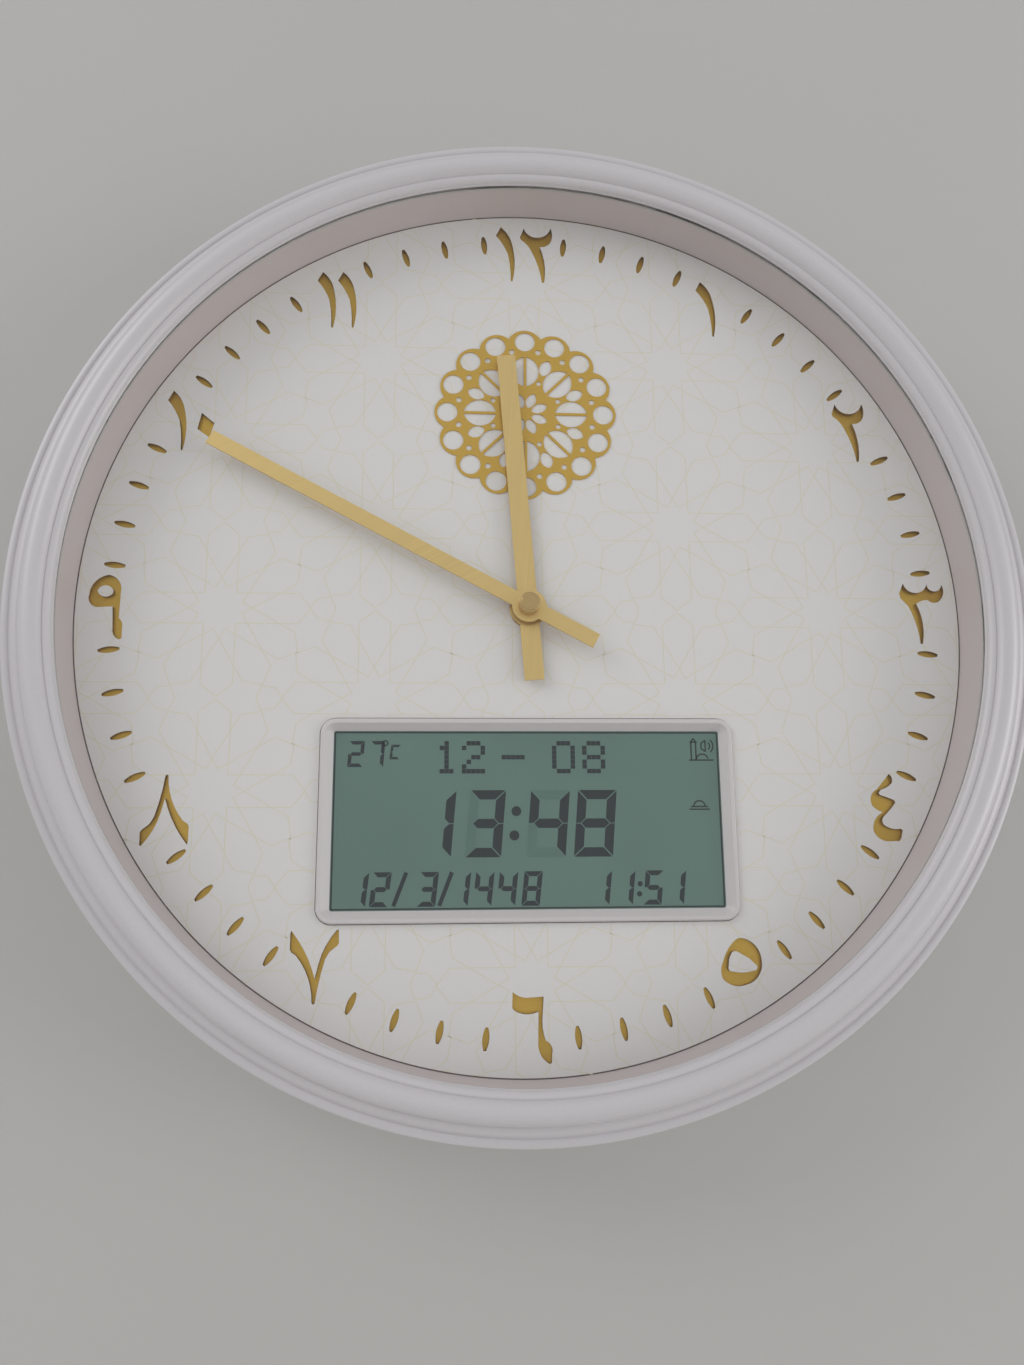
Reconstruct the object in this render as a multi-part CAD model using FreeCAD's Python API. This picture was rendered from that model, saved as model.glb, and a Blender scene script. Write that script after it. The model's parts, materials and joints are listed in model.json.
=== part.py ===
import FreeCAD, Part
import math
import os

# A round wall clock with two hands over an Arabic-Indic dial and a digital display below them.
# Millimetres. X runs to the viewer's right, +Z is up and the wall is the plane Y = 0.
# The front faces -Y. The hands turn about the line X = Z = 0.

V = FreeCAD.Vector
ORIGIN = V(0, 0, 0)
BACKWARD = V(0, 1, 0)
FULL_TURN = 360.0

# Front frame: its radius, how far inside that each feature of its section stands, and where
# the features lie along Y
FRAME_R = 165.0
OPENING_R = FRAME_R - 16.6
LIP_Y = -47.5
LIP_T = 0.7
LIP_COVE_R = FRAME_R - 14.5
LIP_COVE_Y = -49.8
BEAD_CROWN_R = FRAME_R - 10.4
BEAD_CROWN_Y = -51.9
BEAD_FOOT_R = FRAME_R - 6.4
BEAD_FOOT_Y = -48.1
SMALL_BEAD_R = FRAME_R - 4.7
SMALL_BEAD_Y = -47.9
GROOVE_R = FRAME_R - 2.7
GROOVE_Y = -45.9
BAND_R = FRAME_R - 2.2
BAND_Y = -46.5
EDGE_Y = -45.6
EDGE_ROUND = 0.7
FRAME_WALL = 2.2
SKIRT_DRAFT = 1.4
SKIRT_END_Y = -10.0
RIB_R = FRAME_R - 11.2
RIB_T = 1.9
RIB_END_Y = -30.0

# Glass, its seal and the ring between glass and dial
GLASS_T = 2.0
GLASS_GAP = 0.3
SEAL_T = 0.8
SEAL_W = 2.4
RING_FOOT_R = OPENING_R + 0.95
RING_LEAN = 0.15
RING_WALL = 1.8
RING_FLANGE_W = 4.0
RING_FLANGE_T = 3.0

# Dial plate with cut-out figures over a gold sheet
DIAL_Y = -29.0
DIAL_T = 1.5
SHEET_T = 0.5
DIAL_GAP = 0.3
DIAL_HOLE_R = 4.15
MARK_R = OPENING_R - 10.4
MARK_LEN = 7.0
MARK_W = 2.2
MARK_END_W = 0.8
MINUTES = 60
HOURS = 12
# The radius of the minute marks that the places of the figures below were laid out for
FIGURES_MARK_R = 138.0

# Pierced ornament laid on the dial
ORNAMENT_Z = 71.5
ORNAMENT_R = 31.5
ORNAMENT_T = 0.4
SCALLOPS = 16
SCALLOP_R = 6.35
SCALLOP_HOLE_R = 3.6
SEED_R = 1.0
SEED_RING_R = 23.9
BUD_R = 0.9
BUD_RING_R = 12.4
PETALS = 8

# Display window
WINDOW_X = -0.2
WINDOW_Z = -69.7
BEZEL_W = 135.2
BEZEL_H = 65.2
BEZEL_CORNER = 5.0
BEZEL_LINE = 0.3
BEZEL_PROUD = 1.6
BEZEL_BEAD = 1.5
BEZEL_FLANGE = 3.0
BEZEL_FLANGE_T = 1.5
BEZEL_LEG_END_Y = -22.0
VIEW_W = 127.0
VIEW_H = 57.4
LCD_Y = -27.9
LCD_T = 2.2
REFLECTOR_T = 0.3
LCD_MARGIN = 1.2
CONNECTOR_W = 2.0
BOARD_Y = -20.0
BOARD_T = 1.6
BOARD_W = 134.0
BOARD_H = 66.0

# Rear cover
COVER_T = 2.4
COVER_R = FRAME_R - 1.8
COVER_FLAT_R = COVER_R - 15.2
COVER_EDGE_Y = -7.0
SPIGOT_R = COVER_R - 2.0
SPIGOT_END_Y = -14.0
SPIGOT_T = 2.0
POST_R = 3.0
POST_RING_R = COVER_FLAT_R - 3.0
POST_COUNT = 6
WELL_HALF = 30.0
WELL_WALL = 1.6
WELL_END_Y = -8.6

# Screws
CASE_SCREWS = 8
CASE_SCREW_RING = FRAME_R - 7.6
CASE_BOSS_R = 3.4
BOSS_GAP = 0.3
CASE_SCREW_LEN = 11.0
CASE_HOLE_SPARE = 1.0
HEAD_SINK = 1.0
SCREW_R = 1.5
SCREW_HEAD_R = 2.8
SCREW_HEAD_T = 1.8
SCREW_HOLE_GAP = 0.1
DIAL_SCREWS = 6
DIAL_SCREW_RING = RIB_R - 2.5
SMALL_SCREW_R = 1.0
SMALL_HEAD_R = 1.9
SMALL_HEAD_T = 1.2

# Hanging plate with its keyhole
HANGER_Z = COVER_FLAT_R - 24.0
HANGER_W = 42.0
HANGER_H = 30.0
HANGER_T = 1.5
KEY_HEAD_R = 4.5
KEY_SLOT_W = 4.5
KEY_DROP = 8.5

# Quartz movement behind the dial
MOVEMENT_HALF = 28.0
MOVEMENT_Y = -26.0
MOVEMENT_WALL = 1.4
MOVEMENT_CORNER = 2.0
MOVEMENT_FRONT_T = 1.2
MOVEMENT_MID_Y = -11.0
MOVEMENT_BACK_Y = -9.5
BAY_Z = -11.4
NECK_R = 3.98
NECK_END_Y = -31.2
NUT_FLATS = 10.4
NUT_T = 1.6
WASHER_T = 0.4
WASHER_R = 6.0
RUN_GAP = 0.05

# Hands, their arbors and the wheels that turn them
HOUR_TUBE_R = 2.55
HOUR_HAND_Y = -32.4
HOUR_HAND_W = 6.5
HOUR_TIP = 92.2
HOUR_TAIL = 24.6
HOUR_BOSS_R = 6.3
HOUR_ANGLE = 355.7
MINUTE_ARBOR_R = 1.6
MINUTE_HAND_Y = -35.5
MINUTE_HAND_W = 5.0
MINUTE_TIP = 121.7
MINUTE_TAIL = 25.3
MINUTE_BOSS_R = 5.6
MINUTE_ANGLE = 298.4
HAND_T = 0.8
CAP_R = 3.5
CAP_TOP_Y = -39.4
CAP_ROUND = 0.3
MOTION_D = 10.0
CANNON_TEETH = 12
MINUTE_WHEEL_TEETH = 36
MINUTE_PINION_TEETH = 10
HOUR_WHEEL_TEETH = 40
TRAIN_D = 9.2
CENTRE_TEETH = 60
THIRD_PINION_TEETH = 8
THIRD_TEETH = 64
FOURTH_PINION_TEETH = 8
FOURTH_TEETH = 60
FOURTH_MODULE = 0.2
TOOTH_ROOT_HALF = 0.27
TOOTH_TIP_HALF = 0.11
ADDENDUM = 0.62
DEDENDUM = 0.95
HOUR_WHEEL_Y = -24.5
MINUTE_WHEEL_Y = -23.3
CENTRE_WHEEL_Y = -21.8
THIRD_WHEEL_Y = -19.7
FOURTH_WHEEL_Y = -18.1
WHEEL_T = 0.7
PIN_R = 0.5
KNOB_R = 6.0
KNOB_END_Y = -4.6
FIFTH_X = -8.2
FIFTH_R = 4.6
ROTOR_X = -14.6
ROTOR_R = 2.9

# Cells: one in the movement, three in the rear cover
CELL_R = 7.0
CELL_LEN = 48.6
NUB_R = 2.7
NUB_LEN = 1.4
CELL_PITCH = 15.0
CELLS = 3
BATTERY_X = 50.0 - COVER_FLAT_R
BATTERY_Y = -10.9
TRAY_HALF_X = 29.0
TRAY_HALF_Z = 23.0
TRAY_END_Y = -18.6
TRAY_WALL = 1.6
DOOR_T = 2.2
DOOR_INSET = 0.4
DOOR_GAP = 0.4
DOOR_LAP = 2.6
DOOR_PIN_R = 0.7

# Speaker behind its grille
SPEAKER_X = COVER_FLAT_R - 50.0
SPEAKER_Z = 0.0
SPEAKER_R = 28.5
SPEAKER_Y = -2.4
SPEAKER_DEPTH = 8.0
MAGNET_R = 13.5
MAGNET_T = 5.5
GRILLE_SLOTS = 9
GRILLE_PITCH = 5.4
GRILLE_W = 2.4

# Push buttons and the slide switch on the rear
BUTTONS = ["set", "up", "down", "call", "alarm", "light"]
BUTTON_PITCH = 17.0
BUTTON_Z = WINDOW_Z - 24.3
BUTTON_R = 4.0
BUTTON_GAP = 0.3
BUTTON_PROUD = 0.0
SWITCH_HALF = 3.0
SWITCH_BODY_T = 3.6
SWITCH_STEM_R = 1.7
SWITCH_STEM_T = 0.7
SLIDER_X = 0.0
SLIDER_Z = WINDOW_Z - 2.3
SLIDER_TRAVEL = 4.0
SLIDER_W = 4.0
SLIDER_SLOT_GAP = 0.5
MARK_DEPTH = 0.3

# On the main board, from the middle of the display window
CHIP_AT = (-27.8, 11.7)
CHIP_DOME_R = 14.0
CHIP_R = 9.0
CHIP_H = 2.2
CRYSTAL_AT = (-7.8, 17.7)
CRYSTAL_R = 1.55
CRYSTAL_H = 8.2
CAPACITORS_AT = [(24.2, 23.7), (38.2, 23.7)]
CAPACITOR_R = 4.0
CAPACITOR_H = 11.0
SENSOR_AT = (-51.8, 21.7)
SENSOR_R = 1.6
SENSOR_H = 6.5
SENSOR_LEG_R = 0.5
LEAD_R = 0.6
LEAD_PITCH = 3.0

# Outlines of the dial figures: (x, z) is a straight edge to that point,
# (x, z, x, z) is an arc through the first point to the second.
STROKE_ONE = [
    (-1.1, 9.6), (-2.9, 6.1), (-0.3, 2.4, 1.4, -1.3), (2.2, -6.5, 2.4, -12.1),
    (3.0, -12.3), (3.9, -4.0, 2.6, 4.2), (1.0, 7.4, -1.1, 9.6),
]
STROKE_TWO = [
    (-4.9, 9.9), (0.6, 6.3, 4.9, 10.3), (5.5, 7.3, 5.0, 4.8), (3.6, 3.1, 0.9, 2.5),
    (2.6, -4.5, 2.3, -11.9), (1.5, -12.1), (0.2, -5.5, -2.2, 0.6), (-3.7, 3.1, -6.0, 5.2),
    (-6.3, 6.2), (-4.9, 9.9),
]
STROKE_THREE = [
    (-5.5, 9.8), (-1.0, 6.4, 2.9, 9.8), (5.4, 7.0, 8.1, 9.5), (8.6, 6.3, 7.3, 4.0),
    (5.2, 2.9, 2.8, 3.9), (0.4, 3.5, -1.4, 2.5), (0.2, -3.0, -0.3, -11.7), (-1.1, -11.8),
    (-2.4, -3.5, -4.3, 1.6), (-6.8, 4.4), (-7.2, 6.1), (-5.5, 9.8),
]
STROKE_FOUR = [
    (1.7, 10.3), (-0.6, 7.6, -2.9, 5.1), (-5.1, 2.3, -4.6, -0.4), (-3.2, -1.6, -1.4, -2.4),
    (-4.2, -4.9, -5.0, -8.3), (-2.9, -11.1, 0.6, -11.9), (3.5, -11.8), (4.2, -11.0),
    (4.9, -8.4), (4.3, -7.8), (0.8, -7.6, -1.2, -6.6), (-1.7, -5.4, -0.9, -3.6), (1.6, -1.2),
    (3.2, 0.8), (2.8, 1.6), (0.6, 2.5, -1.8, 3.3), (-2.2, 4.0), (-1.5, 5.0),
    (0.6, 5.8, 2.4, 7.1), (2.7, 8.7, 1.7, 10.3),
]
RING_FIVE = [
    (0.7, 6.6), (4.9, 4.4, 6.9, -0.6), (5.6, -5.3, 1.6, -7.8), (-2.6, -8.0, -5.9, -6.0),
    (-6.4, -3.4, -5.6, -0.6), (-3.7, 3.4, -1.2, 6.1), (-0.3, 6.5, 0.7, 6.6),
]
HOLE_FIVE = [
    (-2.6, 2.2), (-1.5, 2.5, -0.4, 2.1), (2.8, 0.3), (5.3, -2.0), (5.2, -3.0, 4.2, -3.5),
    (0.6, -4.1, -2.6, -3.7), (-3.8, -3.2, -3.9, -2.2), (-3.6, 0.2), (-2.6, 2.2),
]
STROKE_SIX = [
    (-5.0, 9.9), (-2.4, 8.4, 0.6, 8.2), (4.7, 8.4), (4.2, 1.5), (4.4, -1.8, 5.2, -4.7),
    (6.9, -6.2, 7.1, -8.6), (7.0, -11.2), (6.4, -11.6), (3.9, -9.4, 2.8, -5.8), (3.0, 3.9),
    (-0.9, 3.2, -4.7, 4.4), (-5.2, 5.2), (-5.0, 9.9),
]
STROKE_EIGHT = [
    (-1.1, 10.0), (-2.0, 4.5, -3.9, -3.0), (-5.2, -5.2), (-7.6, -7.1), (-8.0, -7.9),
    (-7.9, -11.9), (-7.3, -11.9), (-3.6, -6.4, -1.9, -1.8), (-0.8, 2.8), (1.9, -4.2, 6.8, -11.7),
    (7.1, -10.8), (7.1, -6.0), (6.6, -5.1), (5.2, -4.2), (1.6, 1.7, -0.1, 10.0),
    (-0.6, 10.4, -1.1, 10.0),
]
RING_NINE = [
    (0.4, 11.0), (3.6, 9.2, 4.7, 5.0), (4.6, -3.8), (5.6, -5.0, 5.9, -6.4), (5.9, -10.6),
    (5.2, -11.0), (3.5, -9.8, 2.8, -7.2), (2.3, 0.2), (-2.6, -0.1), (-5.1, 1.4, -5.5, 4.2),
    (-3.6, 8.9, 0.4, 11.0),
]
HOLE_NINE = [(-2.9, 5.4), (-1.0, 7.3, 1.5, 6.6), (2.2, 5.1, 1.4, 4.0), (-0.9, 3.6, -2.9, 5.4)]
DOT = [(1.6, 1.8), (6.1, -2.0), (4.6, -7.3), (0.4, -4.2), (1.6, 1.8)]

# Each figure: its outlines, half turned or upright, and where its middle stands on the dial
FIGURES = [
    (STROKE_ONE, False, 65.7, 115.4),
    (STROKE_TWO, False, 116.4, 67.7),
    (STROKE_THREE, False, 136.3, 1.0),
    (STROKE_FOUR, False, 118.4, -65.7),
    (RING_FIVE, False, 66.7, -114.4),
    (STROKE_SIX, False, -1.0, -133.3),
    (STROKE_EIGHT, True, -68.2, -115.8),
    (STROKE_EIGHT, False, -115.4, -65.7),
    (RING_NINE, False, -139.3, 0.0),
    (STROKE_ONE, False, -120.6, 67.9),
    (DOT, False, -113.4, 67.7),
    (STROKE_ONE, False, -71.0, 115.2),
    (STROKE_ONE, False, -63.8, 115.4),
    (STROKE_ONE, False, -7.2, 135.4),
    (STROKE_TWO, False, 5.0, 134.9),
]
ISLANDS = [(HOLE_FIVE, 66.7, -114.4), (HOLE_NINE, -139.3, 0.0)]


# Plain solids along the hand axis

def rod(radius, y0, y1, x=0.0, z=0.0):
    return Part.makeCylinder(radius, y1 - y0, V(x, y0, z), BACKWARD)


def tube(outer, inner, y0, y1, x=0.0, z=0.0):
    return rod(outer, y0, y1, x, z).cut(rod(inner, y0 - 1, y1 + 1, x, z))


def block(x0, x1, y0, y1, z0, z1):
    return Part.makeBox(x1 - x0, y1 - y0, z1 - z0, V(x0, y0, z0))


def slab(face, y0, y1):
    moved = face.copy()
    moved.translate(V(0, y0, 0))
    return moved.extrude(V(0, y1 - y0, 0))


def outline(points, x=0.0, z=0.0, half_turn=False):
    """A closed wire in the plane Y = 0 from straight edges and arcs."""
    sign = -1.0 if half_turn else 1.0

    def place(px, pz):
        return V(x + sign * px, 0, z + sign * pz)

    start = place(*points[0])
    edges = []
    for step in points[1:]:
        end = place(*step[-2:])
        if len(step) == 4:
            edges.append(Part.Arc(start, place(*step[:2]), end).toShape())
        else:
            edges.append(Part.LineSegment(start, end).toShape())
        start = end
    return Part.Wire(edges)


def polygon(corners):
    points = [V(x, 0, z) for x, z in corners]
    return Part.makePolygon(points + points[:1])


def rounded_rectangle(width, height, corner, x=0.0, z=0.0):
    a = width / 2
    b = height / 2
    c = corner
    s = c * (1 - math.sqrt(0.5))
    return outline([
        (-a + c, b), (a - c, b), (a - s, b - s, a, b - c), (a, -b + c),
        (a - s, -b + s, a - c, -b), (-a + c, -b), (-a + s, -b + s, -a, -b + c),
        (-a, b - c), (-a + s, b - s, -a + c, b),
    ], x, z)


def turned(steps):
    """A solid turned about the hand axis from a section of (radius, y) edges and arcs."""
    start = V(steps[0][0], steps[0][1], 0)
    edges = []
    for step in steps[1:] + steps[:1]:
        end = V(step[-2], step[-1], 0)
        if len(step) == 4:
            edges.append(Part.Arc(start, V(step[0], step[1], 0), end).toShape())
        else:
            edges.append(Part.LineSegment(start, end).toShape())
        start = end
    return Part.Face(Part.Wire(edges)).revolve(ORIGIN, BACKWARD, FULL_TURN)


def on_ring(radius, count, first=0.0):
    """Points evenly round a circle, angles clockwise from the top as on a dial."""
    for k in range(count):
        angle = math.radians(first + k * FULL_TURN / count)
        yield radius * math.sin(angle), radius * math.cos(angle)


def turned_round(shape, degrees, x=0.0, z=0.0):
    copy = shape.copy()
    copy.rotate(V(x, 0, z), BACKWARD, degrees)
    return copy


def joined(shapes):
    shapes = list(shapes)
    return shapes[0].fuse(shapes[1:]).removeSplitter() if len(shapes) > 1 else shapes[0]


def screw(shaft_r, head_r, head_t, y_tip, y_head, x, z):
    """A pan-headed screw with a cross slot, driven in towards y_tip."""
    length = abs(y_head - y_tip)
    slot = head_r * 0.6
    half = head_r * 0.12
    shape = rod(shaft_r, -length, 0).fuse(rod(head_r, 0, head_t))
    shape = shape.cut([
        block(-slot, slot, head_t * 0.45, head_t + 1, -half, half),
        block(-half, half, head_t * 0.45, head_t + 1, -slot, slot),
    ])
    if y_tip > y_head:
        shape.rotate(ORIGIN, V(0, 0, 1), FULL_TURN / 2)
    shape.translate(V(x, y_head, z))
    return shape


# Front frame and glass

GLASS_R = RIB_R - 2.0 - GLASS_GAP
GLASS_FRONT_Y = LIP_Y + LIP_T
GLASS_BACK_Y = GLASS_FRONT_Y + GLASS_T
RING_FRONT_Y = GLASS_BACK_Y + SEAL_T
DIAL_R = RIB_R - DIAL_GAP
DIAL_BACK_Y = DIAL_Y + DIAL_T
SHEET_BACK_Y = DIAL_BACK_Y + SHEET_T
SKIRT_END_R = FRAME_R - SKIRT_DRAFT
SKIRT_INNER_R = SKIRT_END_R - FRAME_WALL
CASE_SCREW_FIRST = FULL_TURN / CASE_SCREWS / 2
BOSS_END_Y = SKIRT_END_Y - 1.5


def front_frame():
    under_y = GROOVE_Y + FRAME_WALL
    pocket_r = GLASS_R + GLASS_GAP
    ring = turned([
        (OPENING_R, GLASS_FRONT_Y),
        (OPENING_R, LIP_Y),
        (
            (OPENING_R + LIP_COVE_R) / 2 - 0.3, (LIP_Y + LIP_COVE_Y) / 2 - 0.3,
            LIP_COVE_R, LIP_COVE_Y,
        ),
        (LIP_COVE_R + 0.5, LIP_COVE_Y + 0.4),
        (BEAD_CROWN_R, BEAD_CROWN_Y, BEAD_FOOT_R, BEAD_FOOT_Y),
        (SMALL_BEAD_R, SMALL_BEAD_Y, GROOVE_R - 0.3, GROOVE_Y - 0.4),
        (GROOVE_R, GROOVE_Y),
        (BAND_R, BAND_Y),
        (FRAME_R - EDGE_ROUND, EDGE_Y - EDGE_ROUND * 0.6),
        (FRAME_R - EDGE_ROUND * 0.25, EDGE_Y - EDGE_ROUND * 0.25, FRAME_R, EDGE_Y),
        (SKIRT_END_R, SKIRT_END_Y),
        (SKIRT_INNER_R, SKIRT_END_Y),
        (FRAME_R - FRAME_WALL, under_y),
        (RIB_R + RIB_T, under_y),
        (RIB_R + RIB_T, RIB_END_Y),
        (RIB_R, RIB_END_Y),
        (RIB_R, RING_FRONT_Y),
        (pocket_r, RING_FRONT_Y),
        (pocket_r, GLASS_FRONT_Y),
    ])
    bosses = [
        rod(CASE_BOSS_R, under_y - 0.5, BOSS_END_Y, x, z)
        for x, z in on_ring(CASE_SCREW_RING, CASE_SCREWS, CASE_SCREW_FIRST)
    ]
    holes = [
        rod(SCREW_R, BOSS_END_Y - CASE_SCREW_LEN - CASE_HOLE_SPARE, BOSS_END_Y + 1, x, z)
        for x, z in on_ring(CASE_SCREW_RING, CASE_SCREWS, CASE_SCREW_FIRST)
    ]
    return ring.fuse(bosses).cut(holes)


def front_glass():
    return rod(GLASS_R, GLASS_FRONT_Y, GLASS_BACK_Y)


def glass_seal():
    return tube(GLASS_R, GLASS_R - SEAL_W, GLASS_BACK_Y, RING_FRONT_Y)


def inner_ring():
    flange_y = DIAL_Y - RING_FLANGE_T
    top_r = RING_FOOT_R + RING_LEAN
    shape = turned([
        (RING_FOOT_R, DIAL_Y),
        (top_r, RING_FRONT_Y),
        (top_r + RING_WALL, RING_FRONT_Y),
        (RING_FOOT_R + RING_WALL, flange_y),
        (RING_FOOT_R + RING_FLANGE_W, flange_y),
        (RING_FOOT_R + RING_FLANGE_W, DIAL_Y),
    ])
    return shape.cut([
        rod(SMALL_SCREW_R, flange_y + 0.6, DIAL_Y + 1, x, z)
        for x, z in on_ring(DIAL_SCREW_RING, DIAL_SCREWS)
    ])


# Dial plate, gold sheet and ornament

def window(extra):
    return rounded_rectangle(
        BEZEL_W + 2 * extra, BEZEL_H + 2 * extra, BEZEL_CORNER + extra, WINDOW_X, WINDOW_Z
    )


def circle_wire(radius, x=0.0, z=0.0):
    return Part.Wire(Part.makeCircle(radius, V(x, 0, z), BACKWARD))


def mark_outlines():
    a = MARK_LEN / 2
    w = MARK_W / 2
    e = MARK_END_W / 2
    mark = outline([(-e, a), (e, a), (w, 0, e, -a), (-e, -a), (-w, 0, -e, a)], 0, MARK_R)
    for minute in range(MINUTES):
        if minute % (MINUTES // HOURS):
            yield turned_round(mark, minute * FULL_TURN / MINUTES)


def plate_with_holes(outer, holes, y0, y1):
    face = Part.Face(outer)
    face = face.cut([Part.Face(w) for w in holes])
    return slab(face, y0, y1)


def dial_screw_holes(radius):
    return [circle_wire(radius, x, z) for x, z in on_ring(DIAL_SCREW_RING, DIAL_SCREWS)]


def dial_face():
    k = MARK_R / FIGURES_MARK_R
    holes = [outline(points, k * x, k * z, turn) for points, turn, x, z in FIGURES]
    holes += list(mark_outlines())
    holes += [window(BEZEL_LINE), circle_wire(DIAL_HOLE_R)]
    holes += dial_screw_holes(SMALL_SCREW_R + SCREW_HOLE_GAP)
    plate = plate_with_holes(circle_wire(DIAL_R), holes, DIAL_Y, DIAL_BACK_Y)
    islands = [
        slab(Part.Face(outline(p, k * x, k * z)), DIAL_Y, DIAL_BACK_Y) for p, x, z in ISLANDS
    ]
    return Part.makeCompound(plate.Solids + islands)


def dial_gold_sheet():
    holes = [window(BEZEL_LINE), circle_wire(DIAL_HOLE_R)]
    holes += dial_screw_holes(SMALL_SCREW_R + SCREW_HOLE_GAP)
    return plate_with_holes(circle_wire(DIAL_R), holes, DIAL_BACK_Y, SHEET_BACK_Y)


def dial_ornament():
    """A round scalloped rosette: a ring of loops, eight ribbed leaves, drops and a flower."""
    rim_r = ORNAMENT_R - SCALLOP_R + 0.4
    disc = Part.Face(circle_wire(rim_r + 2.0))
    lobes = [
        Part.Face(circle_wire(SCALLOP_R, x, z)) for x, z in on_ring(rim_r, SCALLOPS)
    ]
    body = disc.fuse(lobes).removeSplitter()
    half_step = FULL_TURN / SCALLOPS / 2
    holes = [
        Part.Face(circle_wire(r, x, z))
        for r, ring_r, count, first in (
            (SCALLOP_HOLE_R, rim_r + 1.9, SCALLOPS, 0.0),
            (SEED_R, SEED_RING_R, SCALLOPS, half_step),
            (BUD_R, BUD_RING_R, PETALS, 2 * half_step),
        )
        for x, z in on_ring(ring_r, count, first)
    ]
    half_leaves = [
        outline([(side * 0.45, 21.7), (side * 4.9, 16.2, side * 0.45, 10.4), (side * 0.45, 21.7)])
        for side in (-1, 1)
    ]
    drop = outline([(0, 21.9), (1.9, 20.0, 0, 15.6), (-1.9, 20.0, 0, 21.9)])
    petal = outline([(0, 8.2), (1.7, 5.6, 0, 2.2), (-1.7, 5.6, 0, 8.2)])
    step = FULL_TURN / PETALS
    for k in range(PETALS):
        holes += [Part.Face(turned_round(half, k * step)) for half in half_leaves]
        holes.append(Part.Face(turned_round(drop, (k + 0.5) * step)))
        holes.append(Part.Face(turned_round(petal, (k + 0.5) * step)))
    face = body.cut(holes)
    shape = slab(face, DIAL_Y - ORNAMENT_T, DIAL_Y)
    shape.translate(V(0, 0, ORNAMENT_Z))
    return Part.makeCompound(shape.Solids)


# Display

def framed(outer, inner, y0, y1):
    return plate_with_holes(outer, [inner], y0, y1)


def lcd_bezel():
    top_y = DIAL_Y - BEZEL_PROUD
    low_y = LCD_Y - 0.3
    outer = rounded_rectangle(BEZEL_W, BEZEL_H, BEZEL_CORNER, WINDOW_X, WINDOW_Z)
    body = slab(Part.Face(outer), top_y, SHEET_BACK_Y)
    rim = [e for e in body.Edges if abs(e.BoundBox.YMax - top_y) < 0.01]
    body = body.makeFillet(BEZEL_BEAD / 2, rim)
    crown = rounded_rectangle(
        BEZEL_W - 2 * BEZEL_BEAD, BEZEL_H - 2 * BEZEL_BEAD, BEZEL_CORNER - BEZEL_BEAD,
        WINDOW_X, WINDOW_Z,
    )
    throat = rounded_rectangle(VIEW_W, VIEW_H, 0.8, WINDOW_X, WINDOW_Z)
    crown.translate(V(0, top_y - 0.01, 0))
    throat.translate(V(0, low_y, 0))
    slope = Part.makeLoft([crown, throat], True, True)
    straight = rounded_rectangle(VIEW_W, VIEW_H, 0.8, WINDOW_X, WINDOW_Z)
    opening = slab(Part.Face(straight), low_y - 0.01, SHEET_BACK_Y + 5)
    flange_end = SHEET_BACK_Y + BEZEL_FLANGE_T
    flange = slab(Part.Face(window(BEZEL_FLANGE)), SHEET_BACK_Y, flange_end)
    leg = framed(window(-LCD_MARGIN + 0.4), window(-LCD_MARGIN - 0.9), flange_end, BEZEL_LEG_END_Y)
    pocket = slab(Part.Face(window(-LCD_MARGIN - 0.9)), LCD_Y, BEZEL_LEG_END_Y + 1)
    legs = [rod(2.6, flange_end, BOARD_Y, x, z) for x, z in board_screw_places()]
    holes = [rod(SMALL_SCREW_R, flange_end + 1, 0, x, z) for x, z in board_screw_places()]
    frame = body.fuse([flange, leg]).cut([slope, opening, pocket])
    return frame.fuse(legs).cut(holes).removeSplitter()


def board_screw_places():
    a = BEZEL_W / 2 + BEZEL_FLANGE - 3.2
    b = BEZEL_H / 2 - 16
    return [(WINDOW_X + sx * a, WINDOW_Z + sz * b) for sx in (-1, 1) for sz in (-1, 1)]


def lcd_outline():
    return window(-LCD_MARGIN - 1.2)


def lcd_panel():
    return slab(Part.Face(lcd_outline()), LCD_Y, LCD_Y + LCD_T)


def lcd_reflector():
    y0 = LCD_Y + LCD_T
    wire = rounded_rectangle(BEZEL_W - 8, BEZEL_H - 10, 1, WINDOW_X, WINDOW_Z)
    return slab(Part.Face(wire), y0, y0 + REFLECTOR_T)


def lcd_connectors():
    strips = []
    for side in (-1, 1):
        z = WINDOW_Z + side * (BEZEL_H / 2 - 3.9)
        strips.append(block(
            WINDOW_X - VIEW_W * 0.46, WINDOW_X + VIEW_W * 0.46, LCD_Y + LCD_T, BOARD_Y,
            z - CONNECTOR_W / 2 + side * 0.15, z + CONNECTOR_W / 2 + side * 0.15,
        ))
    return Part.makeCompound(strips)


# Main board and what is soldered to it

BOARD_BACK_Y = BOARD_Y + BOARD_T


def main_board():
    half_w = BEZEL_W / 2 + BEZEL_FLANGE
    plate = block(
        WINDOW_X - half_w, WINDOW_X + half_w, BOARD_Y, BOARD_BACK_Y,
        WINDOW_Z - BOARD_H / 2, WINDOW_Z + BOARD_H / 2,
    )
    return plate.cut([
        rod(SMALL_SCREW_R + SCREW_HOLE_GAP, BOARD_Y - 1, BOARD_BACK_Y + 1, x, z)
        for x, z in board_screw_places()
    ])


def on_board(place):
    return WINDOW_X + place[0], WINDOW_Z + place[1]


def main_chip():
    x, z = on_board(CHIP_AT)
    dome = Part.makeSphere(CHIP_DOME_R, V(x, BOARD_BACK_Y + CHIP_H - CHIP_DOME_R, z))
    return dome.common(rod(CHIP_R, BOARD_BACK_Y, BOARD_BACK_Y + 2 * CHIP_H, x, z))


def board_crystal():
    return rod(CRYSTAL_R, BOARD_BACK_Y, BOARD_BACK_Y + CRYSTAL_H, *on_board(CRYSTAL_AT))


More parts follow.
